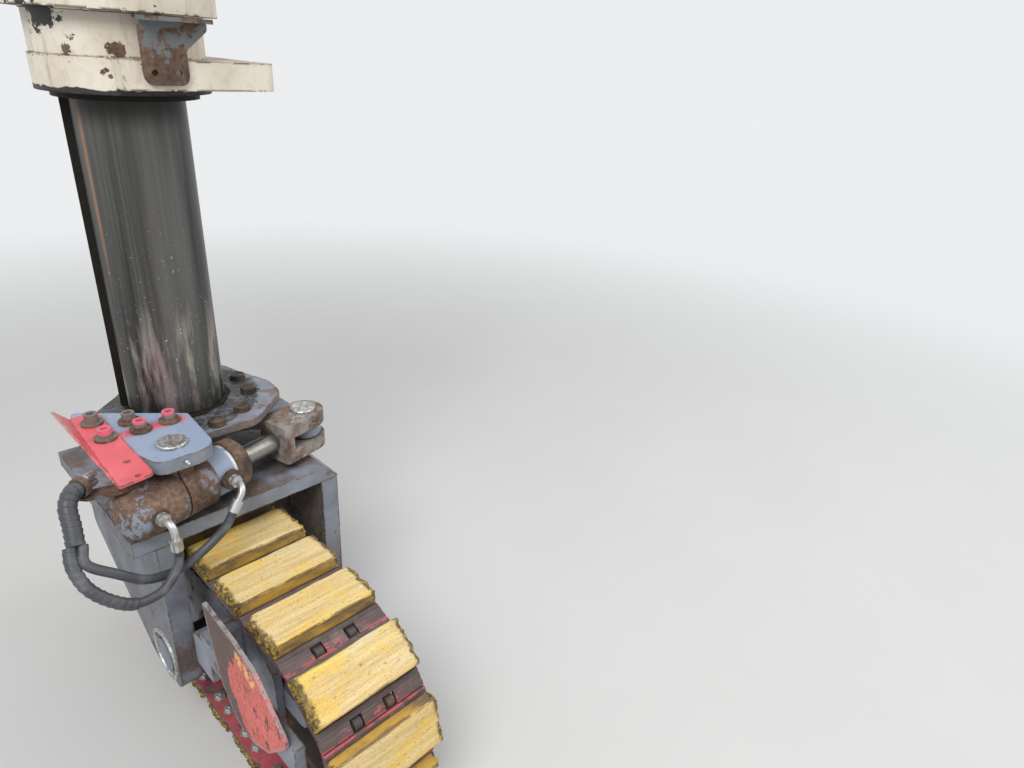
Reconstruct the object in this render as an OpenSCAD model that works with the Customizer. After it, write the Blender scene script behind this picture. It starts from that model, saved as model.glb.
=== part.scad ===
// Steered crawler track unit with its lifting column, one leg of a road milling machine.
// Millimetres. +Z is up, -Y is the front, +X is the side towards the machine.
// The origin is on the column's axis, on the top face of the sleeve's housing.

/* [Guide sleeve] */
// Radius of the round housing at the sleeve's lower end
housing_r = 165; // [160:1:172]
// Height of the housing, from the seal to the mounting face
housing_h = 220; // [205:5:240]
// Height of the thicker band round the foot of the housing
band_h = 65; // [58:1:75]
// How far the housing above the band is set back
band_step = 4; // [2:1:8]
// Height of the flat front and back plates on the band
plate_h = 54; // [46:1:60]
// How far the plates end above the foot of the band
plate_rise = 12; // [8:1:16]
// Faces of the plates, in front of and behind the column's axis
plate_y = 196; // [190:1:204]
// Left end of the plates, from the column's axis
plate_left = 70; // [60:2:80]
// Reach of the plates towards the machine, from the column's axis
plate_right = 236; // [226:2:260]
// Thickness of the flange that the mounting screws hold
mount_t = 75; // [70:1:90]
// Room for the guide rings round the column
ring_wall = 7.5; // [6:0.5:9]
// Wall of the sleeve's tube
sleeve_wall = 22; // [18:1:24]
// Length of the tube above the mounting face
sleeve_up = 730; // [715:5:800]
// Pitch circle of the mounting screws
mount_pcd = 330; // [324:1:336]
// Number of mounting screws
mount_count = 12; // [8:1:14]
// Radius of a mounting screw's hole
mount_hole_r = 11; // [8:0.5:12]
// Depth of a mounting screw's hole
mount_hole_depth = 60; // [40:1:90]
// Height of a guide ring
ring_h = 80; // [60:1:90]
// Thickness of the seal ring under the housing
seal_t = 12; // [8:1:16]
// Thickness of the cap on top of the sleeve
cap_t = 20; // [14:1:30]
// Running clearance between the column and its guides
slide_gap = 0.3; // [0.2:0.05:0.5]

/* [Lifting column] */
// Radius of the column's tube
tube_r = 110.5; // [107:0.5:118]
// Wall of the column's tube
tube_wall = 18; // [12:1:25]
// Length of tube that shows between the seal and the column's flange
exposed_len = 710; // [670:5:740]
// Length of tube above the seal's lower face
engaged_len = 330; // [310:5:345]
// Width of the guide key on the tube
key_w = 50; // [40:1:60]
// How far the key stands out from the tube
key_out = 14; // [10:0.5:15]
// Direction of the key, seen from above, from +X
key_angle = 150; // [140:1:170]
// Side clearance of the key in its groove
key_gap = 1; // [0.5:0.1:2]
// Radius of the swivel pin under the column
kingpin_r = 55; // [48:1:60]

/* [Column flange] */
// Thickness of the flange under the tube
flange_t = 18; // [14:1:22]
// Reach of the flange towards the machine, from the column's axis
flange_right = 223; // [215:1:230]
// Reach of the flange to the other side
flange_left = 205; // [198:1:212]
// Reach of the flange in front of the axis
flange_front = 222; // [214:1:226]
// Reach of the flange behind the axis
flange_back = 165; // [160:1:175]
// Width across flats of the flange's bolts
flange_bolt_af = 34; // [30:1:36]
// Height of the flange's bolt heads
flange_bolt_h = 13; // [10:1:18]

/* [Cylinder bracket] */
// Thickness of the bracket that carries the steering cylinder
bracket_t = 32; // [24:1:36]
// Left edge of the bracket, from the column's axis
bracket_left = 240; // [234:1:246]
// Gap between the bracket's slanting back edge and the column's tube
bracket_gap = 32; // [26:1:36]
// Reach of the bracket in front of the cylinder's pivot
bracket_nose = 63; // [56:1:68]
// Thickness of the red plate on the bracket
red_t = 6; // [4:1:8]
// Reach of the red plate in front of the cylinder's pivot
red_reach = 110; // [100:1:120]
// Width of the red plate
red_w = 71; // [66:1:76]
// Width of the red plate's bent lip at its back end
lip_w = 46; // [36:1:50]
// Angle of the lip to the plate
lip_angle = 48; // [35:1:60]
// Radius of a bracket screw's washer
washer_r = 23; // [20:0.5:25]
// Radius of a bracket screw's head
screw_r = 14; // [12:0.5:16]
// Height of a bracket screw's head
screw_h = 20; // [14:1:24]

/* [Steering cylinder] */
// Place of the cylinder's pivot on the bracket, left of the column's axis
pivot_x = -118; // [-122:1:-112]
// Place of the cylinder's pivot, in front of the column's axis
pivot_y = -270; // [-275:1:-264]
// Place of the rod's pin on the fork, right of the column's axis
eye_x = 240; // [236:1:246]
// Place of the rod's pin, in front of the column's axis
eye_y = -188; // [-192:1:-182]
// Radius of the barrel's thick rear part
band_r = 64; // [60:1:66]
// Radius of the barrel's front part
tube_part_r = 57; // [53:1:59]
// Radius of the gland
gland_r = 62; // [60:1:64]
// Length of the gland
gland_len = 40; // [34:1:44]
// Radius of the chamber inside the barrel
chamber_r = 35; // [30:1:40]
// Length of the barrel behind its pivot
barrel_back = 140; // [134:1:146]
// Rounding of the barrel's rear end
rear_round = 32; // [20:1:40]
// Radius of the rod
rod_r = 25; // [20:0.5:27]
// Length of rod that shows between the gland and the clevis
rod_shown = 108; // [107:1:112]
// Clearance of the rod and the pivot pins in their bores
pin_gap = 0.3; // [0.2:0.05:0.5]
// Radius of the bracket's pivot pin
pivot_r = 20; // [17:0.5:24]
// Radius of the flat heads of the two pivot pins
pin_head_r = 32; // [28:1:34]
// Height of those heads
pin_head_h = 8; // [6:0.5:8]
// Width and height of the clevis
clevis_w = 102; // [96:1:106]
// Length of the clevis behind its pin
clevis_back = 104; // [100:1:108]
// Radius of the clevis pin
clevis_pin_r = 18; // [15:0.5:20]
// Clearance between the barrel and the fork's plate under it
barrel_gap = 8; // [6:0.5:14]
// Clearance between the gland and the flange over it
flange_gap = 6; // [5:0.5:12]

/* [Hoses] */
// Radius of a hose
hose_r = 10; // [8:0.5:10]
// Radius of the wrapped pair of hoses
wrap_r = 18; // [16:0.5:19]
// Radius of the bend in an angled fitting
bend_r = 22; // [18:1:26]
// Length of an angled fitting below its bend
ferrule_len = 41; // [36:1:46]
// Lean of the front fitting towards the back of the barrel
front_lean = 38; // [30:1:44]

/* [Fork] */
// Thickness of the fork's top plate
fork_plate_t = 38; // [30:1:45]
// Front edge of the fork, from the column's axis
fork_front = 300; // [292:1:310]
// Back edge of the fork, from the column's axis
fork_back = 200; // [180:1:220]
// Overhang of the plate past the outer leg
fork_overhang = 45; // [30:1:60]
// Thickness of the outer leg
leg_outer_t = 50; // [40:1:55]
// Thickness of the inner leg
leg_inner_t = 46; // [36:1:52]
// Gap between the track and the outer leg
leg_outer_gap = 20; // [14:1:30]
// Gap between the track and the inner leg
leg_inner_gap = 86; // [70:1:100]
// Height of the straight back edge of a leg
leg_back_h = 198; // [170:1:215]
// Radius of the leg's foot round the axle
leg_foot_r = 71; // [66:1:80]
// Gap between the fork's plate and the track pads
fork_gap = 57; // [50:1:75]
// Radius of the swivel hub
hub_r = 92; // [84:1:96]
// Thickness of the washer on top of the hub
thrust_t = 11.7; // [8:0.1:16]
// Thickness of the steering arm
arm_t = 30; // [24:1:32]
// Radius of the plate that holds the swivel pin from below
keeper_r = 78; // [70:1:90]
// Thickness of that plate
keeper_t = 12; // [8:1:16]

/* [Track] */
// Width of a pad
pad_w = 260; // [240:2:280]
// Thickness of a pad
pad_t = 36; // [28:1:44]
// Length of a pad
pad_len = 112; // [104:1:118]
// Bare front lip of a shoe, in front of its pad
shoe_lip = 40; // [34:1:44]
// Bare rear lip of a shoe, behind its pad
shoe_heel = 12; // [8:1:16]
// Where the chain stands along its loop, in links
phase = 0.39; // [0:0.01:0.99]
// Thickness of a shoe
shoe_t = 12; // [8:1:16]
// How much narrower a shoe is than its pad
shoe_inset = 6; // [0:1:16]
// Distance between two chain pins
pitch = 149.5; // [146:0.5:153]
// Number of shoes, an odd number
shoe_count = 19; // [19:2:21]
// Teeth in one full turn of the sprocket
teeth = 9; // [9:1:9]
// Middle of the track, in front of the column's axis
track_y = -252; // [-262:1:-242]
// Height of a chain link
link_h = 40; // [34:1:44]
// Thickness of a link plate
link_t = 20; // [14:1:24]
// Clear width between the link plates
link_inner_w = 60; // [56:1:64]
// Radius of a chain bush
bush_r = 14; // [12:0.5:16]
// Radius of the final drive's hub inside the sprocket
drive_r = 104; // [96:1:110]

/* [Track frame] */
// Thickness of a side plate of the frame
side_t = 18; // [14:1:22]
// Gap between the chain and a side plate
side_gap = 8; // [6:0.5:12]
// Height of the frame above the wheels' centres
frame_up = 120; // [105:1:130]
// Depth of the frame below the wheels' centres
frame_down = 135; // [125:1:145]
// Length of the idler's yoke behind the idler's centre
yoke_len = 235; // [225:1:250]
// Distance of the top rails' ends from the wheels' centres
rail_end = 240; // [236:1:250]
// Radius of a bottom roller
roller_r = 45; // [40:1:48]
// Number of bottom rollers
roller_count = 4; // [3:1:4]
// Gap between a bottom roller and the wheel next to it
roller_gap = 6; // [3:0.5:9]
// Radius of the axle through the fork
axle_r = 40; // [34:1:46]
// Axle's place in front of the column's axis
axle_y = -222; // [-228:1:-216]
// Axle's height below the wheels' centres
axle_drop = 24; // [16:1:30]
// Clearance of rollers and rails from the chain
track_gap = 0.3; // [0.2:0.05:0.5]

/* [Side guard] */
// Thickness of the guard plate
guard_t = 8; // [6:1:12]
// Gap between the guard and the track pads
guard_gap = 34; // [30:1:44]
// Length of the guard
guard_len = 340; // [320:2:360]
// Height of the guard
guard_h = 279; // [260:1:285]
// Rear edge of the guard, in front of the track's middle
guard_rear = 196; // [190:1:206]

/* [Hidden] */
$fn = 48;

// Colours
cream = [0.86, 0.82, 0.74];
steel_dark = [0.27, 0.27, 0.27];
grey_paint = [0.42, 0.46, 0.50];
rust = [0.37, 0.27, 0.21];
red_paint = [0.88, 0.30, 0.32];
zinc = [0.72, 0.72, 0.70];
pad_yellow = [0.83, 0.68, 0.28];
shoe_red = [0.38, 0.14, 0.13];
guard_red = [0.62, 0.22, 0.18];
grease_black = [0.07, 0.07, 0.07];
hose_black = [0.10, 0.10, 0.11];

// Heights, from the mounting face down to the ground
housing_z = -housing_h;
seal_z = housing_z - seal_t;
flange_top = seal_z - exposed_len;
flange_z = flange_top - flange_t;
cylinder_z = flange_z - flange_gap - gland_r;
fork_z = cylinder_z - band_r - barrel_gap;
hub_h = flange_z - thrust_t - slide_gap - fork_z;
leg_top = fork_z - fork_plate_t;
bracket_z = flange_top + bracket_t;

// Radii of the sleeve round the column, and of the flange round the mounting screws
sleeve_bore_r = tube_r + ring_wall;
sleeve_r = sleeve_bore_r + sleeve_wall;
mount_r = mount_pcd / 2 + mount_hole_r + 16;

// Track: the pins run on straights of whole pitches and on arcs of the wheels
pin_r = pitch / (2 * sin(180 / teeth));
track_r = pin_r + link_h / 2 + shoe_t + pad_t;
span = (shoe_count - teeth) * pitch / 2;
straight_steps = (shoe_count - teeth) / 2;
arc_steps = teeth / 2;
wheel_z = leg_top - fork_gap - track_r;
ground_z = wheel_z - track_r;
front_y = track_y - span / 2;
rear_y = track_y + span / 2;
wheel_r = pin_r * cos(180 / teeth) - link_h / 2 - track_gap;
run_in = pin_r - link_h / 2;
flange_out = 8;
root_r = pin_r - 42;
tip_r = pin_r - 2;
shaft_r = 28;
link_outer = link_inner_w / 2 + link_t;
pin_half = link_outer + 6;
frame_in = pin_half + side_gap;
frame_out = frame_in + side_t;
axle_z = wheel_z - axle_drop;

// Fork: faces of the legs
outer_in = -pad_w / 2 - leg_outer_gap;
outer_out = outer_in - leg_outer_t;
inner_in = pad_w / 2 + leg_inner_gap;
inner_out = inner_in + leg_inner_t;
fork_left = outer_out - fork_overhang;

// Steering cylinder: its line from the pivot to the rod's pin
eye_len = norm([eye_x - pivot_x, eye_y - pivot_y]);
cylinder_angle = atan2(eye_y - pivot_y, eye_x - pivot_x);
clevis_start = eye_len - clevis_back;
gland_end = clevis_start - rod_shown;
barrel_end = gland_end - gland_len;
band_end = 60;
seam = -17;
chamber_back = 110;
rod_back = 5;
clevis_slot = arm_t + 6;

// Ports: places along the barrel, with their height and how far their bosses stand out
rear_port = -92;
front_port = 88;
port_up = 5;
port_out = band_r + 4;
fitting_out = 18;

// Hoses, in the steering cylinder's own frame: along the rod, across it, up
function fitting_end(s, lean) = [
    s - sin(lean) * (bend_r + ferrule_len), -port_out - fitting_out - bend_r,
    port_up - cos(lean) * (bend_r + ferrule_len)
];
function fitting_down(lean) = [-sin(lean), 0, -cos(lean)];
wrap_route = [
    [-250, -41, 20], [-238, -17, 48], [-226, 10, 76], [-206, 28, 90], [-190, 34, 90], [-174, 40, 90]
];
wrap_side = [10, -5, 0];
rear_route = concat(
    [fitting_end(rear_port, 0), fitting_end(rear_port, 0) + 20 * fitting_down(0)],
    [[-112, -124, -92], [-150, -127, -118], [-204, -126, -111]],
    [[-242, -116, -82], [-268, -90, -46]],
    [2 * wrap_route[0] - wrap_route[1] - wrap_side, wrap_route[0] - wrap_side]
);
front_route = concat(
    [fitting_end(front_port, front_lean)],
    [fitting_end(front_port, front_lean) + 20 * fitting_down(front_lean)],
    [[6, -122, -66], [-40, -118, -88], [-80, -99, -116]],
    [[-125, -97, -110], [-172, -105, -83], [-217, -104, -38]],
    [2 * wrap_route[0] - wrap_route[1] + wrap_side, wrap_route[0] + wrap_side]
);

function unit(v) = v / norm(v);
function xy(p) = [p[0], p[1]];

// Outline with rounded corners. Each point is [x, y, corner radius].
function rounded(pts, steps = 6) = [
    for (i = [0 : len(pts) - 1])
        let (
            p = xy(pts[i]),
            r = pts[i][2],
            u = unit(xy(pts[(i + len(pts) - 1) % len(pts)]) - p),
            v = unit(xy(pts[(i + 1) % len(pts)]) - p),
            half = acos(u * v) / 2,
            centre = p + unit(u + v) * r / sin(half),
            first = p + u * r / tan(half) - centre,
            last = p + v * r / tan(half) - centre,
            from = atan2(first[1], first[0]),
            turn = (atan2(last[1], last[0]) - from + 540) % 360 - 180
        )
        for (k = [0 : r > 0 ? steps : 0])
            r > 0 ? centre + r * [cos(from + turn * k / steps), sin(from + turn * k / steps)] : p
];

// Plate with a rounded outline in X and Y, from height z up
module slab(pts, z, t) {
    translate([0, 0, z]) linear_extrude(t) polygon(rounded(pts));
}

// Upright plate with its outline in Y and Z, from x towards +X
module upright(pts, x, t) {
    translate([x, 0, 0]) rotate([90, 0, 90]) linear_extrude(t) polygon(rounded(pts));
}

// Round bar along X
module bar_x(r, x, len, y, z) {
    translate([x, y, z]) rotate([0, 90, 0]) cylinder(r = r, h = len);
}

// Point and direction of a smooth curve through p[i] and p[i + 1], at share u of the way
function curve(p, i, u) =
    let (
        b = p[i],
        c = p[i + 1],
        a = i > 0 ? p[i - 1] : 2 * b - c,
        d = i + 2 < len(p) ? p[i + 2] : 2 * c - b
    )
    [b + ((c - a) * u + (2 * a - 5 * b + 4 * c - d) * u * u + (3 * b - a - 3 * c + d) * u * u * u) / 2,
        unit(c - a + 2 * (2 * a - 5 * b + 4 * c - d) * u + 3 * (3 * b - a - 3 * c + d) * u * u)];

function smooth(p, steps) = concat(
    [for (i = [0 : len(p) - 2], k = [0 : steps - 1]) curve(p, i, k / steps)],
    [curve(p, len(p) - 2, 1)]
);

// Round tube along a route
module tube(route, r, steps, sides = 12) {
    path = smooth(route, steps);
    last = len(path) - 1;
    rings = [for (p = path)
        let (a = unit(cross(p[1], [0, 1, 0])), b = cross(p[1], a))
            for (k = [0 : sides - 1]) p[0] + r * (a * cos(k * 360 / sides) + b * sin(k * 360 / sides))];
    walls = [for (i = [0 : last - 1], k = [0 : sides - 1])
        let (n = (k + 1) % sides, low = i * sides, high = low + sides)
            for (f = [[low + k, high + k, high + n], [low + k, high + n, low + n]]) f];
    ends = [[for (k = [0 : sides - 1]) k], [for (k = [sides - 1 : -1 : 0]) last * sides + k]];
    polyhedron(rings, concat(walls, ends));
}

// Puts its children on the steering cylinder's line, with X along the rod
module on_cylinder() {
    translate([pivot_x, pivot_y, cylinder_z]) rotate([0, 0, cylinder_angle]) children();
}

// Groove or bar of the guide key: from radius r_in to r_out
module key_bar(r_in, r_out, w, z, h) {
    rotate([0, 0, key_angle]) translate([r_in, -w / 2, z]) cube([r_out - r_in, w, h]);
}

// Room for the key, as high as z to z + h
module key_groove(z, h) {
    key_bar(0, tube_r + key_out + key_gap, key_w + 2 * key_gap, z, h);
}

// GUIDE SLEEVE

module guide_sleeve() {
    color(cream) difference() {
        union() {
            translate([0, 0, housing_z]) cylinder(r = housing_r, h = band_h);
            translate([0, 0, housing_z]) cylinder(r = housing_r - band_step, h = housing_h);
            slab([
                [-plate_left, -plate_y, 3], [plate_right, -plate_y, 20],
                [plate_right, plate_y, 20], [-plate_left, plate_y, 3]
            ], housing_z + plate_rise, plate_h);
            translate([0, 0, -mount_t]) cylinder(r = mount_r, h = mount_t);
            cylinder(r = sleeve_r, h = sleeve_up);
        }
        translate([0, 0, housing_z - 1]) cylinder(r = sleeve_bore_r, h = housing_h + sleeve_up + 2);
        key_groove(housing_z - 1, housing_h + sleeve_up + 2);
        for (i = [0 : mount_count - 1])
            rotate([0, 0, (i + 0.5) * 360 / mount_count])
                translate([mount_pcd / 2, 0, -mount_hole_depth])
                    cylinder(r = mount_hole_r, h = mount_hole_depth + 1);
    }
}

module guide_rings() {
    color(rust) for (z = [housing_z, -ring_h])
        difference() {
            translate([0, 0, z]) cylinder(r = sleeve_bore_r, h = ring_h);
            translate([0, 0, z - 1]) cylinder(r = tube_r + slide_gap, h = ring_h + 2);
            key_groove(z - 1, ring_h + 2);
        }
}

module seal_ring() {
    color(grease_black) difference() {
        translate([0, 0, seal_z]) cylinder(r = sleeve_r, h = seal_t);
        translate([0, 0, seal_z - 1]) cylinder(r = tube_r + slide_gap, h = seal_t + 2);
        key_groove(seal_z - 1, seal_t + 2);
    }
}

module sleeve_cap() {
    color(cream) {
        translate([0, 0, sleeve_up]) cylinder(r = sleeve_r + 12, h = cap_t);
        translate([0, 0, sleeve_up + cap_t]) cylinder(r = 46, h = 22);
        for (i = [0 : 7])
            rotate([0, 0, i * 45]) translate([sleeve_r - 12, 0, sleeve_up + cap_t])
                cylinder(r = 14, h = 13, $fn = 6);
    }
}

// Bracket on the flat front plate: [x, height, corner radius]
module collar_bracket() {
    low = housing_z + plate_rise + 10;
    left = -33;
    right = 94;
    sheet = 8;
    color(rust) {
        translate([0, -plate_y, 0]) rotate([90, 0, 0]) linear_extrude(sheet) difference() {
            polygon(rounded([
                [left, low, 18], [left + 83, low, 18], [left + 83, low + 62, 10], [right, low + 98, 10],
                [right, low + 118, 0], [left, low + 118, 0]
            ]));
            for (x = [left + 19, left + 64]) translate([x, low + 22]) circle(r = 6);
        }
        translate([left, -plate_y - 38, low + 118 - sheet]) cube([right - left, 30, sheet]);
    }
}

// LIFTING COLUMN

module column_tube() {
    color(steel_dark) translate([0, 0, flange_top]) difference() {
        cylinder(r = tube_r, h = seal_z + engaged_len - flange_top);
        translate([0, 0, -1]) cylinder(r = tube_r - tube_wall, h = seal_z + engaged_len - flange_top + 2);
    }
}

module guide_key() {
    color(grease_black) difference() {
        key_bar(tube_r - 4, tube_r + key_out, key_w, flange_top, seal_z + engaged_len - flange_top);
        translate([0, 0, flange_top - 1]) cylinder(r = tube_r, h = seal_z + engaged_len - flange_top + 2);
    }
}

// Flange under the tube: [x, y, corner radius]
module column_flange() {
    color(grey_paint) slab([
        [flange_right * 0.45, -flange_front, 60], [flange_right * 0.97, -flange_front * 0.56, 60],
        [flange_right, -flange_front * 0.2, 60], [flange_right * 0.86, flange_back * 0.3, 60],
        [flange_right * 0.78, flange_back * 0.76, 40], [flange_right * 0.45, flange_back, 60],
        [-flange_left * 0.3, flange_back * 0.95, 50], [-flange_left * 0.55, flange_back * 0.6, 30],
        [-flange_left * 0.85, flange_back * 0.27, 40], [-flange_left, -flange_front * 0.2, 40],
        [-flange_left, -flange_front * 0.85, 20], [-flange_left * 0.75, -flange_front * 0.95, 30]
    ], flange_z, flange_t);
}

// Each bolt: distance from the column's tube, direction from +X
module flange_bolts() {
    places = [[56, 6], [58, -26], [72, -60], [82, -86], [50, 40], [34, 75], [34, 105]];
    color(rust) for (p = places)
        rotate([0, 0, p[1]]) translate([tube_r + p[0], 0, flange_top]) {
            cylinder(r = flange_bolt_af / 2 + 3, h = 4);
            translate([0, 0, 4]) cylinder(r = flange_bolt_af / sqrt(3), h = flange_bolt_h - 4, $fn = 6);
        }
}

// Point on the bracket's slanting back edge, at the given x
function back_edge(x) =
    let (d = tube_r + bracket_gap, across = [cos(231), sin(231)], along = [-sin(231), cos(231)])
        d * across + along * (x - d * across[0]) / along[0];

module cylinder_bracket() {
    front = pivot_y - bracket_nose;
    left = back_edge(-bracket_left);
    right = back_edge(-36);
    color(grey_paint) difference() {
        slab([
            [pivot_x - 54, front, 30], [pivot_x + 70, front, 40], [right[0], right[1], 12],
            [left[0], left[1], 10], [-bracket_left, pivot_y + 55, 20], [pivot_x - 70, pivot_y - 5, 20]
        ], flange_top, bracket_t);
        translate([pivot_x, pivot_y, flange_top - 1]) cylinder(r = pivot_r, h = bracket_t + 2);
    }
}

// Red plate clamped by the outer screws, with a bent lip that widens along its left edge
module red_plate() {
    left = -bracket_left - 23;
    right = left + red_w;
    front = pivot_y - red_reach;
    back = back_edge(right)[1] - 4;
    taper = 13;
    lip_len = norm([taper, back - front]);
    color(red_paint) difference() {
        union() {
            slab([
                [left, front, 8], [right, front + 10, 12], [right, back, 8], [left + taper, back, 6]
            ], bracket_z, red_t);
            translate([left, front, bracket_z]) rotate([0, 0, atan2(back - front, taper)])
                rotate([lip_angle, 0, 0]) linear_extrude(red_t - 1)
                    polygon([[14, 0], [lip_len - 4, 0], [lip_len - 8, lip_w]]);
        }
        for (p = [[left + 45, pivot_y - 24], [left + 43, pivot_y - 91]])
            translate([p[0], p[1], bracket_z - 1]) cylinder(r = 6, h = red_t + 2);
    }
}

// Socket screws on washers: [x, y, height of what they clamp]
module bracket_screws() {
    seats = [
        [-bracket_left + 22, -87, red_t], [-bracket_left + 22, -173, red_t],
        [-152, -118, 0], [-146, -170, 0], [-82, -166, 0]
    ];
    washer_t = 6;
    color(zinc) for (s = seats)
        translate([s[0], s[1], bracket_z + s[2]]) {
            cylinder(r = washer_r, h = washer_t);
            translate([0, 0, washer_t]) difference() {
                cylinder(r = screw_r, h = screw_h);
                translate([0, 0, screw_h - 9]) cylinder(r = screw_r * 0.6, h = 10, $fn = 6);
            }
        }
}

// Flat round head of a pivot pin
module pin_head() {
    cylinder(r = pin_head_r, h = pin_head_h - 2);
    translate([0, 0, pin_head_h - 2]) cylinder(r1 = pin_head_r, r2 = pin_head_r - 2, h = 2);
}

module pivot_pin() {
    pin_end = cylinder_z + band_r - 14;
    color(zinc) translate([pivot_x, pivot_y, 0]) {
        translate([0, 0, pin_end]) cylinder(r = pivot_r, h = bracket_z - pin_end);
        translate([0, 0, bracket_z]) pin_head();
    }
}

module kingpin() {
    color(steel_dark) translate([0, 0, leg_top - slide_gap])
        cylinder(r = kingpin_r, h = flange_z - leg_top + slide_gap);
}

module kingpin_keeper() {
    color(rust) {
        translate([0, 0, leg_top - slide_gap - keeper_t]) cylinder(r = keeper_r, h = keeper_t);
        for (i = [0 : 5])
            rotate([0, 0, i * 60]) translate([kingpin_r - 22, 0, leg_top - slide_gap - keeper_t - 10])
                cylinder(r = 11, h = 10, $fn = 6);
    }
}

// FORK

module fork_plate() {
    color(grey_paint) difference() {
        translate([0, fork_back, 0]) rotate([90, 0, 0]) linear_extrude(fork_front + fork_back)
            polygon([
                [fork_left, leg_top], [inner_out, leg_top], [inner_out, leg_top + 6],
                [inner_out - 31, fork_z], [fork_left, fork_z]
            ]);
        translate([0, 0, leg_top - 1]) cylinder(r = kingpin_r + slide_gap, h = fork_plate_t + 2);
    }
}

// A leg's side view: [y, z, corner radius]
function leg_points() = [
    [-fork_front, leg_top, 0], [-fork_front, axle_z - leg_foot_r, 34],
    [axle_y + 92, axle_z - leg_foot_r, 40], [fork_back - 5, leg_top - leg_back_h, 30],
    [fork_back - 5, leg_top, 0]
];

module leg(x, t) {
    color(grey_paint) difference() {
        upright(leg_points(), x, t);
        bar_x(axle_r, x - 1, t + 2, axle_y, axle_z);
    }
}

module fork_leg_outer() {
    leg(outer_out, leg_outer_t);
}

module fork_leg_inner() {
    leg(inner_in, leg_inner_t);
}

module swivel_hub() {
    color(grey_paint) translate([0, 0, fork_z]) difference() {
        union() {
            cylinder(r = hub_r, h = hub_h);
            cylinder(r1 = hub_r + 14, r2 = hub_r, h = 14);
        }
        translate([0, 0, -1]) cylinder(r = kingpin_r + slide_gap, h = hub_h + 2);
    }
}

module thrust_washer() {
    color(rust) translate([0, 0, fork_z + hub_h]) difference() {
        cylinder(r = hub_r, h = thrust_t);
        translate([0, 0, -1]) cylinder(r = kingpin_r + slide_gap, h = thrust_t + 2);
    }
}

// Arm from the hub round behind the clevis, with a tongue that takes its pin.
// The hole is wide because a rigid linkage of fixed ratios strays from the true circle.
module steering_arm() {
    along = unit([eye_x - pivot_x, eye_y - pivot_y]);
    across = [-along[1], along[0]];
    eye = [eye_x, eye_y];
    tongue_r = 42;
    near = eye - along * tongue_r;
    far = eye + along * tongue_r;
    left = near + across * 75;
    right = far + across * 75;
    color(grey_paint) translate([0, 0, cylinder_z - arm_t / 2]) linear_extrude(arm_t) difference() {
        union() {
            polygon(rounded([
                [-20, -hub_r + 6, 0], [left[0] - 64, left[1] + 40, 0], [left[0], left[1], 10],
                [near[0], near[1], 0], [far[0], far[1], 0], [right[0], right[1], 30],
                [right[0] - 6, right[1] + 130, 50], [right[0] - 94, right[1] + 196, 60],
                [-20, hub_r - 6, 0]
            ]));
            translate(eye) circle(tongue_r);
        }
        circle(hub_r);
        translate([-200, -200]) square([200, 400]);
        translate(eye) circle(clevis_pin_r + 10);
    }
}

// STEERING CYLINDER

// Barrel's outer shape, turned round its line: [radius, place along it, corner radius]
module cylinder_barrel() {
    block_top = flange_top - flange_gap - cylinder_z;
    bosses = [[rear_port, 20], [front_port, 24]];
    color(rust) on_cylinder() difference() {
        union() {
            rotate([0, 90, 0]) rotate_extrude() polygon(rounded([
                [0, -barrel_back, 0], [band_r, -barrel_back, rear_round], [band_r, seam - 2, 0],
                [band_r - 3, seam - 1, 0], [band_r - 3, seam + 1, 0], [band_r, seam + 2, 0],
                [band_r, band_end - 3, 0], [band_r - 3, band_end, 0], [tube_part_r, band_end, 0],
                [tube_part_r, barrel_end, 0], [0, barrel_end, 0]
            ]));
            cylinder(r = pivot_r + 17, h = block_top);
            for (b = bosses) translate([b[0], 0, port_up]) rotate([90, 0, 0])
                cylinder(r = b[1], h = port_out);
        }
        bar_x(chamber_r, -chamber_back, chamber_back + barrel_end + 1, 0, 0);
        translate([0, 0, band_r - 16]) cylinder(r = pivot_r + pin_gap, h = block_top);
    }
}

module cylinder_gland() {
    color(rust) on_cylinder() difference() {
        translate([barrel_end, 0, 0]) rotate([0, 90, 0]) rotate_extrude() polygon([
            [0, 0], [gland_r - 2, 0], [gland_r, 2], [gland_r, gland_len - 10],
            [gland_r - 10, gland_len], [0, gland_len]
        ]);
        bar_x(rod_r + pin_gap, barrel_end - 1, gland_len + 2, 0, 0);
    }
}

// Angled fitting: out of its port along X, then down, leaning over by a turn about X
module elbow(lean) {
    rotate([-lean, 0, 0]) {
        bar_x(14, 0, 4, 0, 0);
        translate([4, 0, 0]) rotate([0, 90, 0]) cylinder(r = 15, h = 11, $fn = 6);
        bar_x(8, 15, fitting_out - 15, 0, 0);
        translate([fitting_out, 0, -bend_r]) rotate([90, 0, 0])
            rotate_extrude(angle = 90) translate([bend_r, 0]) circle(r = 8);
        translate([fitting_out + bend_r, 0, -bend_r - ferrule_len]) {
            cylinder(r = hose_r + 2.5, h = ferrule_len - 12);
            cylinder(r = 8, h = ferrule_len);
        }
    }
}

module port_elbows() {
    color(zinc) on_cylinder() for (p = [[rear_port, 0], [front_port, front_lean]])
        translate([p[0], -port_out, port_up]) rotate([0, 0, -90]) elbow(p[1]);
}

module rear_hose() {
    color(hose_black) on_cylinder() tube(rear_route, hose_r, 3);
}

module front_hose() {
    color(hose_black) on_cylinder() tube(front_route, hose_r, 3);
}

module hose_wrap() {
    color(hose_black) on_cylinder() tube(wrap_route, wrap_r, 3);
}

// Puts its children at the end of the wrapped hoses, with X along them
module at_wrap_end() {
    last = len(wrap_route) - 1;
    way = wrap_route[last] - wrap_route[last - 1];
    translate(wrap_route[last]) rotate([0, 0, atan2(way[1], way[0])]) children();
}

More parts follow.
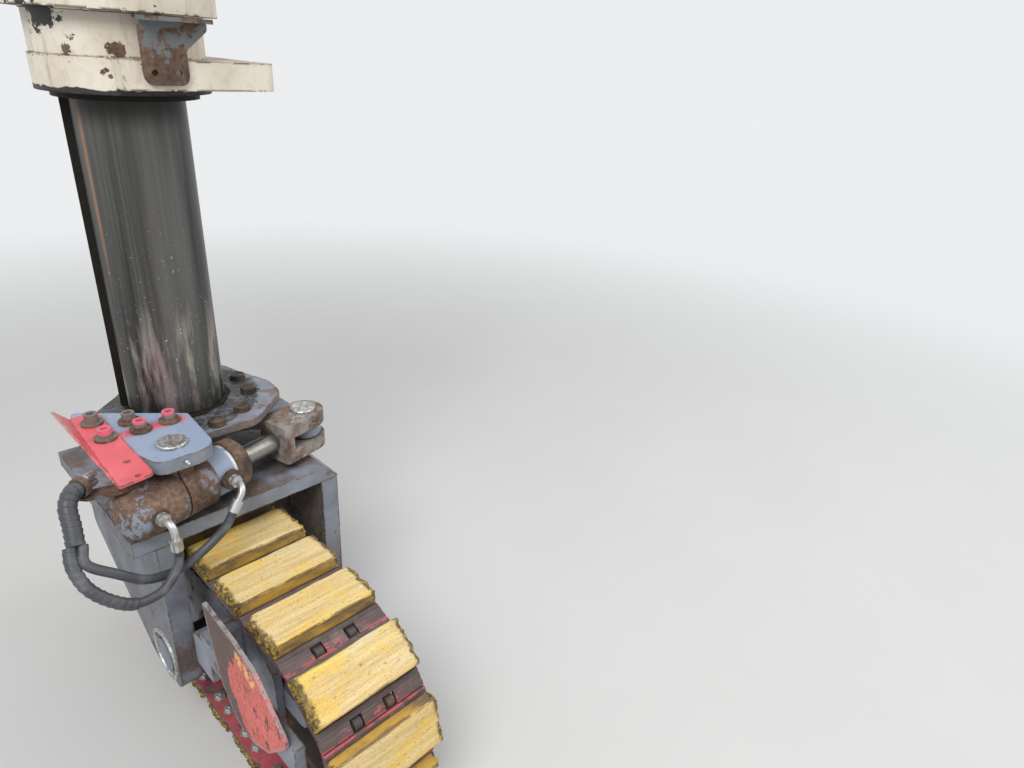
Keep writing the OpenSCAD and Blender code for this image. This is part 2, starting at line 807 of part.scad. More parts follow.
// Arm on top of the barrel's rear end, with a ring round the wrapped hoses: [x, y, corner radius]
module hose_clamp() {
    color(rust) on_cylinder() {
        slab([
            [-90, -14, 4], [-90, 14, 4], [-120, 22, 20], [-176, 52, 8], [-200, 44, 8], [-186, 18, 10],
            [-130, -14, 30]
        ], band_r, 6);
        difference() {
            translate([-108, -14, band_r - 10]) cube([18, 28, 10]);
            bar_x(band_r, -120, 40, 0, 0);
        }
        at_wrap_end() difference() {
            bar_x(wrap_r + 4, -16, 12, 0, 0);
            bar_x(wrap_r, -17, 14, 0, 0);
        }
    }
}

// Screwed ends of the two hoses, one above the other
module hose_couplings() {
    color(zinc) on_cylinder() at_wrap_end() for (z = [-9, 9]) {
        bar_x(7, 0, 30, 0, z);
        translate([6, 0, z]) rotate([0, 90, 0]) cylinder(r = 8.8, h = 14, $fn = 6);
    }
}

module piston_rod() {
    color(zinc) on_cylinder() bar_x(rod_r, rod_back, clevis_start - rod_back, 0, 0);
}

module clevis() {
    half = clevis_w / 2;
    color(rust) on_cylinder() difference() {
        translate([0, 0, -half]) linear_extrude(clevis_w) union() {
            polygon(rounded([
                [clevis_start, -half, 10], [eye_len, -half, 0], [eye_len, half, 0], [clevis_start, half, 10]
            ]));
            translate([eye_len, 0]) circle(half);
        }
        translate([clevis_start + 26, -half - 1, -clevis_slot / 2])
            cube([clevis_back + half, clevis_w + 2, clevis_slot]);
        translate([eye_len, 0, -half - 1]) cylinder(r = clevis_pin_r, h = clevis_w + 2);
    }
}

module clevis_pin() {
    half = clevis_w / 2;
    color(zinc) on_cylinder() translate([eye_len, 0, 0]) {
        translate([0, 0, -half - 6]) cylinder(r = clevis_pin_r, h = clevis_w + 6);
        translate([0, 0, half]) pin_head();
    }
}

// TRACK

// Place of a chain pin, u steps along the loop: [y, z] from the middle between the wheels
function pin_at(u) =
    u < straight_steps ? [span / 2 - u * pitch, pin_r] :
    u < straight_steps + arc_steps ?
        [-span / 2 - pin_r * sin((u - straight_steps) * 360 / teeth),
            pin_r * cos((u - straight_steps) * 360 / teeth)] :
    -pin_at(u - straight_steps - arc_steps);

module at_track() {
    translate([0, track_y, wheel_z]) children();
}

// Puts its children on link i, with X across, Y along the link and Z outwards
module on_link(i) {
    a = pin_at(i + phase);
    b = pin_at(i + 1 + phase);
    mid = (a + b) / 2;
    at_track() translate([0, mid[0], mid[1]])
        rotate([atan2((b - a)[1], (b - a)[0]) - 180, 0, 0]) children();
}

// Links and bushes, and a shoe on each link: a plate with a lip bent down at its front,
// which two notches keep off the links
module track_chain() {
    shoe_w = pad_w - 2 * shoe_inset;
    heel_y = pitch / 2 - 3;
    lip = 26;
    bend_y = heel_y - shoe_heel - pad_len - shoe_lip + lip;
    notch = link_t / 2 + 4;
    link_x = link_outer - link_t / 2;
    lip_parts = [
        [-shoe_w / 2, -link_x - notch], [-link_x + notch, link_x - notch], [link_x + notch, shoe_w / 2]
    ];
    color(shoe_red) {
        for (x = [-link_outer, link_inner_w / 2])
            at_track() translate([x, 0, 0]) rotate([90, 0, 90]) linear_extrude(link_t)
                for (i = [0 : shoe_count - 1]) {
                    a = pin_at(i + phase);
                    b = pin_at(i + 1 + phase);
                    translate(a) rotate(5) circle(r = link_h / 2 - 3, $fn = 12);
                    translate(a) rotate(atan2((b - a)[1], (b - a)[0]))
                        translate([0, -link_h / 2]) square([norm(b - a), link_h]);
                }
        for (i = [0 : shoe_count - 1]) {
            pin = pin_at(i + phase);
            at_track() translate([-pin_half, pin[0], pin[1]])
                rotate([0, 90, 0]) cylinder(r = bush_r, h = 2 * pin_half, $fn = 12);
            on_link(i) translate([-shoe_w / 2, bend_y, link_h / 2 - 1])
                cube([shoe_w, heel_y - bend_y, shoe_t + 1]);
            on_link(i) for (part = lip_parts)
                translate([part[0], bend_y, link_h / 2]) rotate([90, 0, 90])
                    linear_extrude(part[1] - part[0])
                        polygon([[0, -1], [0, shoe_t], [-lip, shoe_t - 9], [-lip, -7]]);
        }
    }
}

module track_pads() {
    rear = pitch / 2 - 3 - shoe_heel;
    front = rear - pad_len;
    color(pad_yellow) for (i = [0 : shoe_count - 1])
        on_link(i) translate([-pad_w / 2, 0, link_h / 2 + shoe_t]) rotate([90, 0, 90])
            linear_extrude(pad_w) polygon([
                [front, 0], [rear, 0], [rear, pad_t - 7], [rear - 6, pad_t],
                [front + 6, pad_t], [front, pad_t - 7]
            ]);
}

// TRACK FRAME

// Side plate: [y, z, corner radius], from the wheels' centres
function frame_points() = [
    [front_y + 70, wheel_z - 70, 30], [front_y + 150, wheel_z - frame_down, 40],
    [rear_y - 110, wheel_z - frame_down, 60], [rear_y + 60, wheel_z - 105, 80],
    [rear_y + 122, wheel_z, 90], [rear_y + 60, wheel_z + 105, 80],
    [rear_y - 110, wheel_z + frame_up, 60], [front_y + 150, wheel_z + frame_up, 40],
    [front_y + 70, wheel_z + 70, 30]
];

module track_frame() {
    boss_r = axle_r + 16;
    color(grey_paint) difference() {
        union() {
            for (x = [-frame_out, frame_in]) upright(frame_points(), x, side_t);
            translate([-frame_in - 1, front_y + 230, wheel_z + frame_up - 16])
                cube([2 * frame_in + 2, span - 460, 16]);
            translate([-frame_in - 1, axle_y - boss_r, axle_z - boss_r + 12])
                cube([2 * frame_in + 2, 2 * boss_r, wheel_z + frame_up - axle_z + boss_r - 20]);
            bar_x(boss_r, -frame_out - 12, 2 * frame_out + 24, axle_y, axle_z);
        }
        bar_x(axle_r, -frame_out - 13, 2 * frame_out + 26, axle_y, axle_z);
        bar_x(82, -frame_out - 1, 2 * frame_out + 2, rear_y, wheel_z);
    }
}

// Two rails that carry the upper run of the chain
module top_rails() {
    low = wheel_z + frame_up;
    high = wheel_z + run_in - track_gap;
    front = front_y + rail_end;
    rear = rear_y - rail_end;
    color(rust) for (x = [-link_outer, link_inner_w / 2])
        upright([
            [front, low, 0], [front, high - 30, 0], [front + 45, high, 20],
            [rear - 45, high, 20], [rear, high - 30, 0], [rear, low, 0]
        ], x, link_t);
}

module axle() {
    color(steel_dark) bar_x(axle_r, outer_out, inner_out - outer_out, axle_y, axle_z);
}

module axle_caps() {
    color(rust) {
        bar_x(axle_r + 6, outer_out - 4, 4, axle_y, axle_z);
        bar_x(axle_r + 20, inner_out, 12, axle_y, axle_z);
    }
}

module bottom_rollers() {
    drop = run_in - track_gap - roller_r;
    z = wheel_z - drop;
    first_y = front_y + sqrt(pow(wheel_r + flange_out + roller_r + roller_gap, 2) - drop * drop);
    last_y = rear_y - sqrt(pow(tip_r + roller_r + roller_gap, 2) - drop * drop);
    color(steel_dark) for (i = [0 : roller_count - 1]) {
        y = first_y + i * (last_y - first_y) / (roller_count - 1);
        bar_x(roller_r, -link_outer - 4, 2 * link_outer + 8, y, z);
        bar_x(20, -frame_in, 2 * frame_in, y, z);
    }
}

module idler_wheel() {
    color(steel_dark) translate([0, front_y, wheel_z]) rotate([0, 90, 0]) rotate_extrude($fn = 64)
        polygon([
            [shaft_r, -44], [60, -44], [66, -20], [wheel_r - 34, -20], [wheel_r - 26, -link_outer],
            [wheel_r, -link_outer], [wheel_r, -link_inner_w / 2],
            [wheel_r + flange_out, 5 - link_inner_w / 2], [wheel_r + flange_out, link_inner_w / 2 - 5],
            [wheel_r, link_inner_w / 2], [wheel_r, link_outer], [wheel_r - 26, link_outer],
            [wheel_r - 34, 20], [66, 20], [60, 44], [shaft_r, 44]
        ]);
}

module idler_yoke() {
    back = front_y + yoke_len;
    color(grey_paint) {
        bar_x(shaft_r - pin_gap, -frame_in + 1, 2 * frame_in - 2, front_y, wheel_z);
        for (x = [-frame_in + 1, frame_in - 13])
            translate([x, front_y, wheel_z - 30]) cube([12, back - front_y, 60]);
        translate([-frame_in + 1, back - 30, wheel_z - 30]) cube([2 * frame_in - 2, 30, 60]);
    }
}

module tension_cylinder() {
    from = front_y + yoke_len;
    to = axle_y - axle_r - 16;
    color(steel_dark) translate([0, from, wheel_z]) rotate([-90, 0, 0]) {
        cylinder(r = 20, h = to - from);
        cylinder(r = 32, h = (to - from) * 0.6);
    }
}

module sprocket() {
    color(rust) translate([0, rear_y, wheel_z]) rotate([0, 90, 0]) translate([0, 0, -22])
        linear_extrude(44) difference() {
            union() {
                circle(root_r);
                for (i = [0 : teeth - 1]) rotate((i + phase) * 360 / teeth)
                    polygon([[root_r - 12, -50], [tip_r, -22], [tip_r, 22], [root_r - 12, 50]]);
            }
            for (i = [0 : teeth - 1]) rotate((i + 0.5 + phase) * 360 / teeth)
                translate([pin_r, 0]) circle(r = bush_r + 1);
            circle(drive_r);
        }
}

module final_drive() {
    color(steel_dark) {
        bar_x(drive_r, -40, 90, rear_y, wheel_z);
        bar_x(82, -frame_out - 14, frame_out - 26, rear_y, wheel_z);
        bar_x(112, -frame_out - 14, 14, rear_y, wheel_z);
        bar_x(60, -frame_out - 70, 56, rear_y, wheel_z);
    }
}

// SIDE GUARD

// Guard's outline: [share of its length to the front, share of its height, corner radius]
module side_guard() {
    shape = [
        [0, 1, 8], [0.4, 0.955, 50], [0.64, 0.89, 50], [1, 0.5, 25], [0.72, 0.13, 50],
        [0.5, 0, 50], [0.31, 0, 50], [0.13, 0.27, 60], [0.04, 0.7, 60]
    ];
    rear = track_y - guard_rear;
    low = wheel_z + 5;
    color(guard_red) upright([
        for (p = shape) [rear - p[0] * guard_len, low + p[1] * guard_h, p[2]]
    ], -pad_w / 2 - guard_gap - guard_t, guard_t);
}

// Block on the track's frame, and the bar from it along the back of the guard
module guard_bracket() {
    inner = -pad_w / 2 - guard_gap;
    rear = track_y - guard_rear;
    color(grey_paint) {
        upright([
            [rear + 31, wheel_z + 134, 6], [rear + 31, wheel_z + 4, 6], [rear + 120, wheel_z + 4, 6],
            [rear + 120, wheel_z + 100, 6]
        ], inner, -frame_out - inner);
        translate([inner, rear - guard_len - 6, wheel_z + 60])
            cube([24, guard_len + 80, 74]);
    }
}

guide_sleeve();
guide_rings();
seal_ring();
sleeve_cap();
collar_bracket();
column_tube();
guide_key();
column_flange();
flange_bolts();
cylinder_bracket();
red_plate();
bracket_screws();
pivot_pin();
kingpin();
kingpin_keeper();
fork_plate();
fork_leg_outer();
fork_leg_inner();
swivel_hub();
thrust_washer();
steering_arm();
axle();
axle_caps();
track_frame();
top_rails();
bottom_rollers();
idler_wheel();
idler_yoke();
tension_cylinder();
sprocket();
final_drive();
track_chain();
track_pads();
side_guard();
guard_bracket();
cylinder_barrel();
cylinder_gland();
port_elbows();
rear_hose();
front_hose();
hose_wrap();
hose_clamp();
hose_couplings();
piston_rod();
clevis();
clevis_pin();
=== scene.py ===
import math

import bpy
from mathutils import Matrix, Vector, noise

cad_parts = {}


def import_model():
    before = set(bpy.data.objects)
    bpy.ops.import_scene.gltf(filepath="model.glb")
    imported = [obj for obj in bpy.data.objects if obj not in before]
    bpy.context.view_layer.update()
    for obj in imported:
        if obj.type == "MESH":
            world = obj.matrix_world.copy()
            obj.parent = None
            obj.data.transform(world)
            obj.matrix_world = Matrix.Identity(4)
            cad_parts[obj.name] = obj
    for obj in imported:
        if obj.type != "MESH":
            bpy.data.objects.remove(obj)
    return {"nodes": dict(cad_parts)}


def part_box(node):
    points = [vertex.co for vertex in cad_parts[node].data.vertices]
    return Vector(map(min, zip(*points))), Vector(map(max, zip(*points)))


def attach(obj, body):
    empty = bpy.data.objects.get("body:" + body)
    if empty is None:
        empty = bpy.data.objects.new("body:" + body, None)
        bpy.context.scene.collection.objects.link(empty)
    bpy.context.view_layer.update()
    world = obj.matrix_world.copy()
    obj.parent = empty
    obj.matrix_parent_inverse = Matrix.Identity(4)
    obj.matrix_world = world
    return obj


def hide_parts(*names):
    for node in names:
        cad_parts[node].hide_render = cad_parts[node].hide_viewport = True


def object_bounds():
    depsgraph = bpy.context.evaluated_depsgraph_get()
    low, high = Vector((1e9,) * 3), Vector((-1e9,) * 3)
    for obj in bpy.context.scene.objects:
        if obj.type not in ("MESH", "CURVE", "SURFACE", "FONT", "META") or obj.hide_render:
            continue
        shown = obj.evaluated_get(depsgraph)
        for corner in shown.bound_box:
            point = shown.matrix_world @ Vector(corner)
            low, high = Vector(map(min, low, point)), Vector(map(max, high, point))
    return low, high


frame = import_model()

CAD_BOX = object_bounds()
NODES = frame["nodes"]
X, Y, Z = (Vector(axis) for axis in Matrix.Identity(3))

# Camera: found from the photo's straight edges, for an image of 1024 x 768
IMAGE_WIDTH = 1024
FOCAL_PIXELS = 699.5
EYE = (-0.5694, -1.6839, -0.1007)
YAW, PITCH_DOWN, ROLL = (math.radians(a) for a in (47.02, 25.4, -3.65))

# Background, floor and light
BACKDROP = (0.84, 0.85, 0.86)
FLOOR_SIZE = 120
FLOOR_ENDS = (1.6, 6.0)
SKY_STRENGTH = 0.64


def middle(node):
    low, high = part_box(node)
    return (low + high) / 2


# Track, with the same sizes as its solids. PHASE turns the loop, in pitches.
LINK_PITCH = 0.1495
TEETH = 9
SHOES = 19
PHASE = 0.39
TRACK_Y = -0.252
WHEEL_Z = middle("idler_wheel").z
PIN_RADIUS = LINK_PITCH / (2 * math.sin(math.pi / TEETH))
SPAN = (SHOES - TEETH) * LINK_PITCH / 2
LINK_H = 0.04
LINK_IN = 0.03
LINK_OUT = 0.05
PIN_HALF = 0.056
PIN_R = 0.01
BUSH_R = 0.014
SHOE_T = 0.012
SHOE_HALF = 0.124
PAD_SIZE = Vector((0.26, 0.112, 0.036))
HEEL_Y = LINK_PITCH / 2 - 0.003
PAD_REAR = HEEL_Y - 0.012
PAD_FRONT = PAD_REAR - PAD_SIZE.y
LIP = 0.026
BEND_Y = PAD_FRONT - 0.04 + LIP
LIP_END = BEND_Y - LIP

# Steering cylinder's frame: along its rod, across it, up
PIVOT = Vector((-0.118, -0.27, middle("piston_rod").z))
ROD_WAY = (Vector((0.24, -0.188, PIVOT.z)) - PIVOT).normalized()
BARREL_SIDE = Vector((ROD_WAY.y, -ROD_WAY.x, 0))
BARREL_END = 0.1153
BARREL_R = 0.064
NECK_R = 0.057
SEAM = -0.017
BAND_END = 0.06
REAR_PORT = -0.092
FRONT_PORT = 0.088

# Heights and places that the finishes use
FLANGE_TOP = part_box("column_flange")[1].z
BRACKET_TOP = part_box("cylinder_bracket")[1].z
FORK_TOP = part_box("fork_plate")[1].z
LEG_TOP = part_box("fork_leg_outer")[1].z
HOUSING_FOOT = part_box("guide_sleeve")[0].z
GROOVE_Z = HOUSING_FOOT + 0.06575
TUBE_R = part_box("column_tube")[1].x
GROUND = CAD_BOX[0].z
FRONT_SCREWS = (-0.184, -0.152)
SCREW_ROWS_MEET = -0.144

# Marks on the tube, its painted orange reflection and its darker top: the height where each starts, and
# where it is full
ORANGE_REFLECTION_Z = (-0.7, -0.45)
WORN_Z = (-0.58, -0.84)
FLECKS_Z = (-0.35, -0.75)
DARK_TOP_Z = (-0.3, -0.24)
# Direction across the plane of the tube's painted orange reflection
ORANGE_REFLECTION_SIDE = (0.174, -0.985, 0)

# Patches on the sleeve's housing: middle and radius
GRIME_PATCH = (-0.15, -0.058, -0.078), 0.04
RUST_PATCHES = [((-0.1275, -0.0984, -0.146), 0.01), ((-0.0555, -0.1511, -0.1415), 0.013),
                ((-0.0625, -0.1485, -0.139), 0.012), ((-0.085, -0.1414, -0.18), 0.0045),
                ((-0.079, -0.1449, -0.176), 0.004), ((-0.0745, -0.1472, -0.186), 0.0042),
                ((-0.0655, -0.1514, -0.185), 0.0035)]

# Yellow remains on the guard: their corner, the way they run, and across that
YELLOW_START = (0, -0.585, -1.238)
YELLOW_WAY = (0, -0.924, -0.383)
YELLOW_UP = (0, -0.383, 0.924)


# Materials

class Nodes:
    """A node tree, and short ways to add nodes to it."""

    def __init__(self, tree):
        self.tree = tree
        tree.nodes.clear()

    def node(self, kind, values=None, **settings):
        """A node of that kind. values maps input names or numbers to a number, colour or socket."""
        made = self.tree.nodes.new(kind)
        for name, value in settings.items():
            setattr(made, name, value)
        for name, value in (values or {}).items():
            self.feed(made.inputs[name], value)
        return made

    def feed(self, socket, value):
        if isinstance(value, bpy.types.NodeSocket):
            self.tree.links.new(value, socket)
        elif socket.type == "RGBA":
            socket.default_value = (*value[:3], 1.0)
        else:
            socket.default_value = value

    def math(self, operation, a, b=0.0):
        return self.node("ShaderNodeMath", {0: a, 1: b}, operation=operation, use_clamp=True).outputs[0]

    def both(self, mask, *others):
        for other in others:
            mask = self.math("MULTIPLY", mask, other)
        return mask

    def either(self, mask, *others):
        for other in others:
            mask = self.math("MAXIMUM", mask, other)
        return mask

    def without(self, a, b):
        return self.math("SUBTRACT", a, b)

    def opposite(self, mask):
        return self.without(1.0, mask)

    def colours(self, fac, *stops):
        """Colour ramp. Each stop is (place, colour)."""
        made = self.node("ShaderNodeValToRGB", {"Fac": fac})
        ramp = made.color_ramp
        while len(ramp.elements) < len(stops):
            ramp.elements.new(0.5)
        for element, (place, colour) in zip(ramp.elements, stops):
            element.position = place
            element.color = (*colour, 1.0)
        return made.outputs["Color"]


class Finish(Nodes):
    """A material with one Principled shader. Its colour is a base with coats over it."""

    def __init__(self, name, metallic=0.0, specular=0.5):
        self.material = bpy.data.materials.new(name)
        self.material.use_nodes = True
        super().__init__(self.material.node_tree)
        values = {"Metallic": metallic, "Specular IOR Level": specular}
        self.shader = self.node("ShaderNodeBsdfPrincipled", values)
        self.output = self.node("ShaderNodeOutputMaterial", {"Surface": self.shader.outputs[0]})
        self.place = self.node("ShaderNodeTexCoord").outputs["Object"]
        self.colour = None

    def coat(self, mask, colour, share=1.0):
        """Adds a colour over the last ones where mask is 1, at that share."""
        self.colour = self.mix(self.both(mask, share) if share < 1 else mask, self.colour, colour)

    def noise(self, scale, detail=6, rough=0.55, stretch=(1, 1, 1), shift=0.0, warp=0.0):
        """Noise in object coordinates, scaled by stretch and moved by shift."""
        values = {"Vector": self.place, "Scale": stretch, "Location": (shift, shift * 1.7, shift * 2.3)}
        place = self.node("ShaderNodeMapping", values).outputs[0]
        values = {"Vector": place, "Scale": scale, "Detail": detail, "Roughness": rough, "Distortion": warp}
        return self.node("ShaderNodeTexNoise", values).outputs["Fac"]

    def spots(self, scale, low, high, **settings):
        """Noise cut to patches: 0 below low, 1 above high."""
        return self.band(self.noise(scale, **settings), low, high)

    def band(self, value, low, high):
        """0 at low and below, 1 at high and above, smooth between. low may be the larger."""
        if low > high:
            return self.opposite(self.band(value, high, low))
        values = {"Value": value, "From Min": low, "From Max": high}
        return self.node("ShaderNodeMapRange", values, interpolation_type="SMOOTHSTEP").outputs[0]

    def ragged(self, mask, low, high, scale, shift, detail=9, rough=0.66):
        """A soft mask cut between low and high, with a torn outline."""
        torn = self.both(self.noise(scale, detail, rough, shift=shift), 0.9)
        return self.band(self.math("ADD", mask, torn), low, high)

    def kept(self, name):
        """Place in its own frame that a piece keeps on its vertices, as a set of three outputs."""
        stored = self.node("ShaderNodeAttribute", attribute_name=name)
        return self.node("ShaderNodeSeparateXYZ", {0: stored.outputs["Vector"]}).outputs

    def vector(self, operation, a, b=(0, 0, 0), output="Value"):
        return self.node("ShaderNodeVectorMath", {0: a, 1: b}, operation=operation).outputs[output]

    def along(self, way, low, high, start=(0, 0, 0)):
        """0 to 1 along a direction, between two distances from start."""
        moved = self.vector("SUBTRACT", self.place, start, "Vector")
        return self.band(self.vector("DOT_PRODUCT", moved, way), low, high)

    def between(self, way, low, high, soft, start=(0, 0, 0)):
        """1 between two distances from start along a direction, with soft ends."""
        return self.both(self.along(way, low - soft, low + soft, start),
                         self.along(way, high + soft, high - soft, start))

    def near(self, point, radius, ragged=1.5):
        """1 within a patch round a point, with a ragged outline."""
        wave = self.both(self.noise(1.5 / radius, detail=8, rough=0.65), radius * ragged * 2)
        far = self.math("ADD", self.vector("DISTANCE", self.place, point), wave)
        return self.band(far, radius * (1 + ragged), radius * (0.96 + ragged))

    def from_axis(self, low, high):
        """0 to 1 with the distance from the column's axis."""
        flat = self.vector("MULTIPLY", self.place, X + Y, "Vector")
        return self.band(self.vector("LENGTH", flat), low, high)

    def facing(self, way, low=0.6, high=0.9):
        """1 on faces that look along a direction."""
        normal = self.node("ShaderNodeNewGeometry").outputs["Normal"]
        return self.band(self.vector("DOT_PRODUCT", normal, way), low, high)

    def mix(self, fac, a, b):
        made = self.node("ShaderNodeMix", data_type="RGBA")
        for i, value in ((0, fac), (6, a), (7, b)):
            self.feed(made.inputs[i], value)
        return made.outputs[2]

    def blend(self, fac, a, b):
        """Number between a and b."""
        return self.node("ShaderNodeMix", {0: fac, 2: a, 3: b}, data_type="FLOAT").outputs[0]

    def edges(self, radius, low, high):
        """1 on convex and concave edges within radius, 0 on flat faces."""
        bevel = self.node("ShaderNodeBevel", {"Radius": radius}, samples=6)
        normal = self.node("ShaderNodeNewGeometry").outputs["Normal"]
        alike = self.vector("DOT_PRODUCT", bevel.outputs[0], normal)
        return self.band(self.opposite(alike), low, high)

    def corners(self, distance, low, high):
        """1 deep in corners, 0 on open faces."""
        hollow = self.node("ShaderNodeAmbientOcclusion", {"Distance": distance}, samples=6)
        return self.band(self.opposite(hollow.outputs["AO"]), low, high)

    def chips(self, radius, scale, low, high, shift):
        """Worn edges with a broken outline."""
        broken = self.spots(scale, low, high, detail=9, rough=0.68, shift=shift, warp=0.4)
        return self.both(self.edges(radius, 0.002, 0.03), broken)

    def finish(self, roughness, height=None, depth=0.001, soften=0.0015):
        """Links colour and roughness, and bump from height over softened edges."""
        self.feed(self.shader.inputs["Base Color"], self.colour)
        self.feed(self.shader.inputs["Roughness"], roughness)
        normal = self.node("ShaderNodeBevel", {"Radius": soften}, samples=4).outputs[0]
        if height is not None:
            values = {"Height": height, "Distance": depth, "Strength": 1.0, "Normal": normal}
            normal = self.node("ShaderNodeBump", values).outputs[0]
        self.feed(self.shader.inputs["Normal"], normal)
        return self.material

    def rust(self, shift=0.0, level=1.0):
        """Brown to orange rust, mottled at two sizes."""
        coarse = self.noise(9, shift=shift)
        fine = self.noise(110, detail=5, shift=shift + 1)
        tone = self.math("ADD", self.both(coarse, 0.55), self.both(fine, 0.45))
        stops = ((0.3, (0.046, 0.031, 0.025)), (0.45, (0.13, 0.08, 0.055)),
                 (0.56, (0.225, 0.142, 0.098)), (0.72, (0.39, 0.255, 0.175)))
        return self.colours(tone, *((place, [level * c for c in colour]) for place, colour in stops))

    def grey(self, shift=0.0):
        """Blue grey paint, faded in places and dusted with brown."""
        tone = self.noise(6, rough=0.6, shift=shift)
        paint = self.colours(tone, (0.3, (0.185, 0.21, 0.26)), (0.52, (0.262, 0.3, 0.372)),
                             (0.8, (0.35, 0.385, 0.45)))
        dust = self.spots(38, 0.46, 0.76, detail=8, rough=0.7, shift=shift + 2)
        return self.mix(self.both(dust, 0.45), paint, (0.39, 0.365, 0.33))


def rusty_steel():
    f = Finish("rusty_steel", metallic=0.15)
    pits = f.noise(160, rough=0.7)
    f.colour = f.rust()
    f.coat(f.spots(14, 0.5, 0.7, detail=5, shift=4), (0.05, 0.038, 0.034))
    return f.finish(f.blend(pits, 0.6, 0.95), pits, 0.0012)


def dark_steel():
    f = Finish("dark_steel", metallic=0.4)
    grain = f.noise(70)
    f.colour = (0.075, 0.068, 0.066)
    f.coat(f.spots(8, 0.45, 0.65, shift=3), f.rust(2))
    return f.finish(f.blend(grain, 0.4, 0.75), grain, 0.0006)


def cream_paint():
    """Cream paint with brown runs, rust patches, black grime along its lower edge, and painted shade on its
    faces that look down.
    """
    f = Finish("cream_paint")
    tone = f.noise(5, detail=5)
    f.colour = f.colours(tone, (0.3, (0.62, 0.545, 0.43)), (0.55, (0.79, 0.725, 0.62)),
                         (0.8, (0.85, 0.805, 0.72)))
    runs = f.spots(7, 0.52, 0.8, detail=5, stretch=(6, 6, 0.8), shift=2)
    f.coat(runs, (0.36, 0.23, 0.11), 0.55)
    dust = f.spots(60, 0.5, 0.75, shift=12)
    f.coat(dust, (0.4, 0.35, 0.28), 0.35)
    rusty = [f.near(point, radius) for point, radius in RUST_PATCHES]
    bare = f.either(f.chips(0.007, 30, 0.49, 0.52, 5), *rusty,
                    f.spots(12, 0.64, 0.655, detail=9, rough=0.62, shift=7),
                    f.spots(75, 0.71, 0.725, detail=3, shift=15))
    f.coat(bare, f.rust(level=0.7))
    groove = f.between(Z, GROOVE_Z - 0.00075, GROOVE_Z + 0.00075, 0.0016)
    f.coat(f.both(groove, f.spots(16, 0.3, 0.5, detail=4)), (0.19, 0.1, 0.045), 0.8)
    foot = f.ragged(f.along(Z, HOUSING_FOOT + 0.026, HOUSING_FOOT - 0.01), 0.86, 0.92, 34, 9)
    top = f.both(f.near(*GRIME_PATCH), f.along(Z, -0.066, -0.068))
    # Grime on the foot and on the top patch; painted shade: faces that look down go near black
    f.coat(f.either(foot, top, f.facing(Z, -0.5, -0.9)), (0.026, 0.021, 0.018))
    return f.finish(f.blend(bare, f.blend(tone, 0.4, 0.6), 0.9), f.opposite(bare), 0.0006)


def slide_steel():
    """Oiled dark tube with upright streaks, a painted orange reflection beside the key, paler towards its
    foot.
    """
    f = Finish("slide_steel", metallic=0.6, specular=0.4)
    fine = f.noise(75, rough=0.6, stretch=(1, 1, 0.012))
    broad = f.noise(13, detail=5, stretch=(1, 1, 0.05), shift=3)
    f.colour = f.mix(f.band(broad, 0.35, 0.68), (0.038, 0.039, 0.038), (0.138, 0.138, 0.134))
    f.coat(f.band(fine, 0.45, 0.75), (0.15, 0.145, 0.13), 0.6)
    f.coat(f.spots(13, 0.52, 0.74, detail=4, stretch=(1, 1, 0.07), shift=8), (0.15, 0.095, 0.06), 0.5)
    # Painted reflection: an orange band down the tube beside the key
    orange_reflection = f.both(f.along(ORANGE_REFLECTION_SIDE, -0.005, 0.004), f.along(ORANGE_REFLECTION_SIDE, 0.015, 0.008))
    orange_reflection = f.both(orange_reflection, f.along(X, 0.0, -0.02), f.along(Z, *ORANGE_REFLECTION_Z), f.blend(fine, 0.3, 1.0))
    f.coat(orange_reflection, (0.44, 0.25, 0.14))
    worn = f.spots(26, 0.47, 0.61, detail=9, rough=0.62, stretch=(1, 1, 0.13), shift=5)
    worn = f.both(f.along(Z, *WORN_Z), worn)
    tint = f.band(f.noise(16, detail=4, stretch=(1, 1, 0.3), shift=6), 0.4, 0.62)
    f.coat(worn, f.mix(tint, (0.43, 0.33, 0.34), (0.56, 0.52, 0.45)), 0.68)
    flecks = f.both(f.along(Z, *FLECKS_Z), f.spots(170, 0.66, 0.71, detail=4, shift=11))
    f.coat(flecks, (0.56, 0.53, 0.48))
    foot = f.both(f.along(Z, FLANGE_TOP + 0.05, FLANGE_TOP + 0.005), broad)
    # Darker from this height up to the housing, and round the tube's foot by the flange
    f.coat(f.either(f.along(Z, *DARK_TOP_Z), foot), (0.014, 0.013, 0.012), 0.85)
    return f.finish(f.blend(f.either(worn, f.both(broad, 0.6)), 0.3, 0.6), fine, 0.0002)


def rod_steel():
    f = Finish("rod_steel", metallic=0.9)
    rings = f.noise(40, detail=4, stretch=(3, 1, 1))
    f.colour = f.mix(rings, (0.2, 0.19, 0.17), (0.34, 0.33, 0.3))
    f.coat(f.spots(30, 0.5, 0.75, shift=2), (0.15, 0.1, 0.07), 0.6)
    return f.finish(f.blend(rings, 0.25, 0.45), rings, 0.0002)


def worn_grey(name, chip, rust, dirt, weather=None):
    """Blue grey paint. chip and rust are where the wear and the bare patches start, dirt is a share."""
    f = Finish(name)
    bare = f.either(f.chips(0.007, 34, chip, chip + 0.03, 5),
                    f.spots(11, rust, rust + 0.02, detail=10, rough=0.68, shift=8),
                    f.spots(60, 0.68, 0.7, detail=5, shift=17))
    soil = f.both(f.spots(15, 0.36, 0.7, detail=8, rough=0.62, shift=21), dirt)
    f.colour = f.grey()
    f.coat(soil, (0.14, 0.115, 0.09))
    f.coat(bare, f.rust(3))
    if weather:
        weather(f)
    # Partly oil, partly painted shade: corners darkened, broken by noise
    oil_and_corner_shade = f.both(f.corners(0.06, 0.2, 0.8), f.spots(18, 0.3, 0.6, shift=11))
    f.coat(oil_and_corner_shade, (0.034, 0.029, 0.026), 0.85)
    return f.finish(f.blend(f.either(bare, soil), 0.42, 0.85), f.opposite(bare), 0.0005)


def grey_paint():
    return worn_grey("grey_paint", 0.47, 0.61, 0.45)


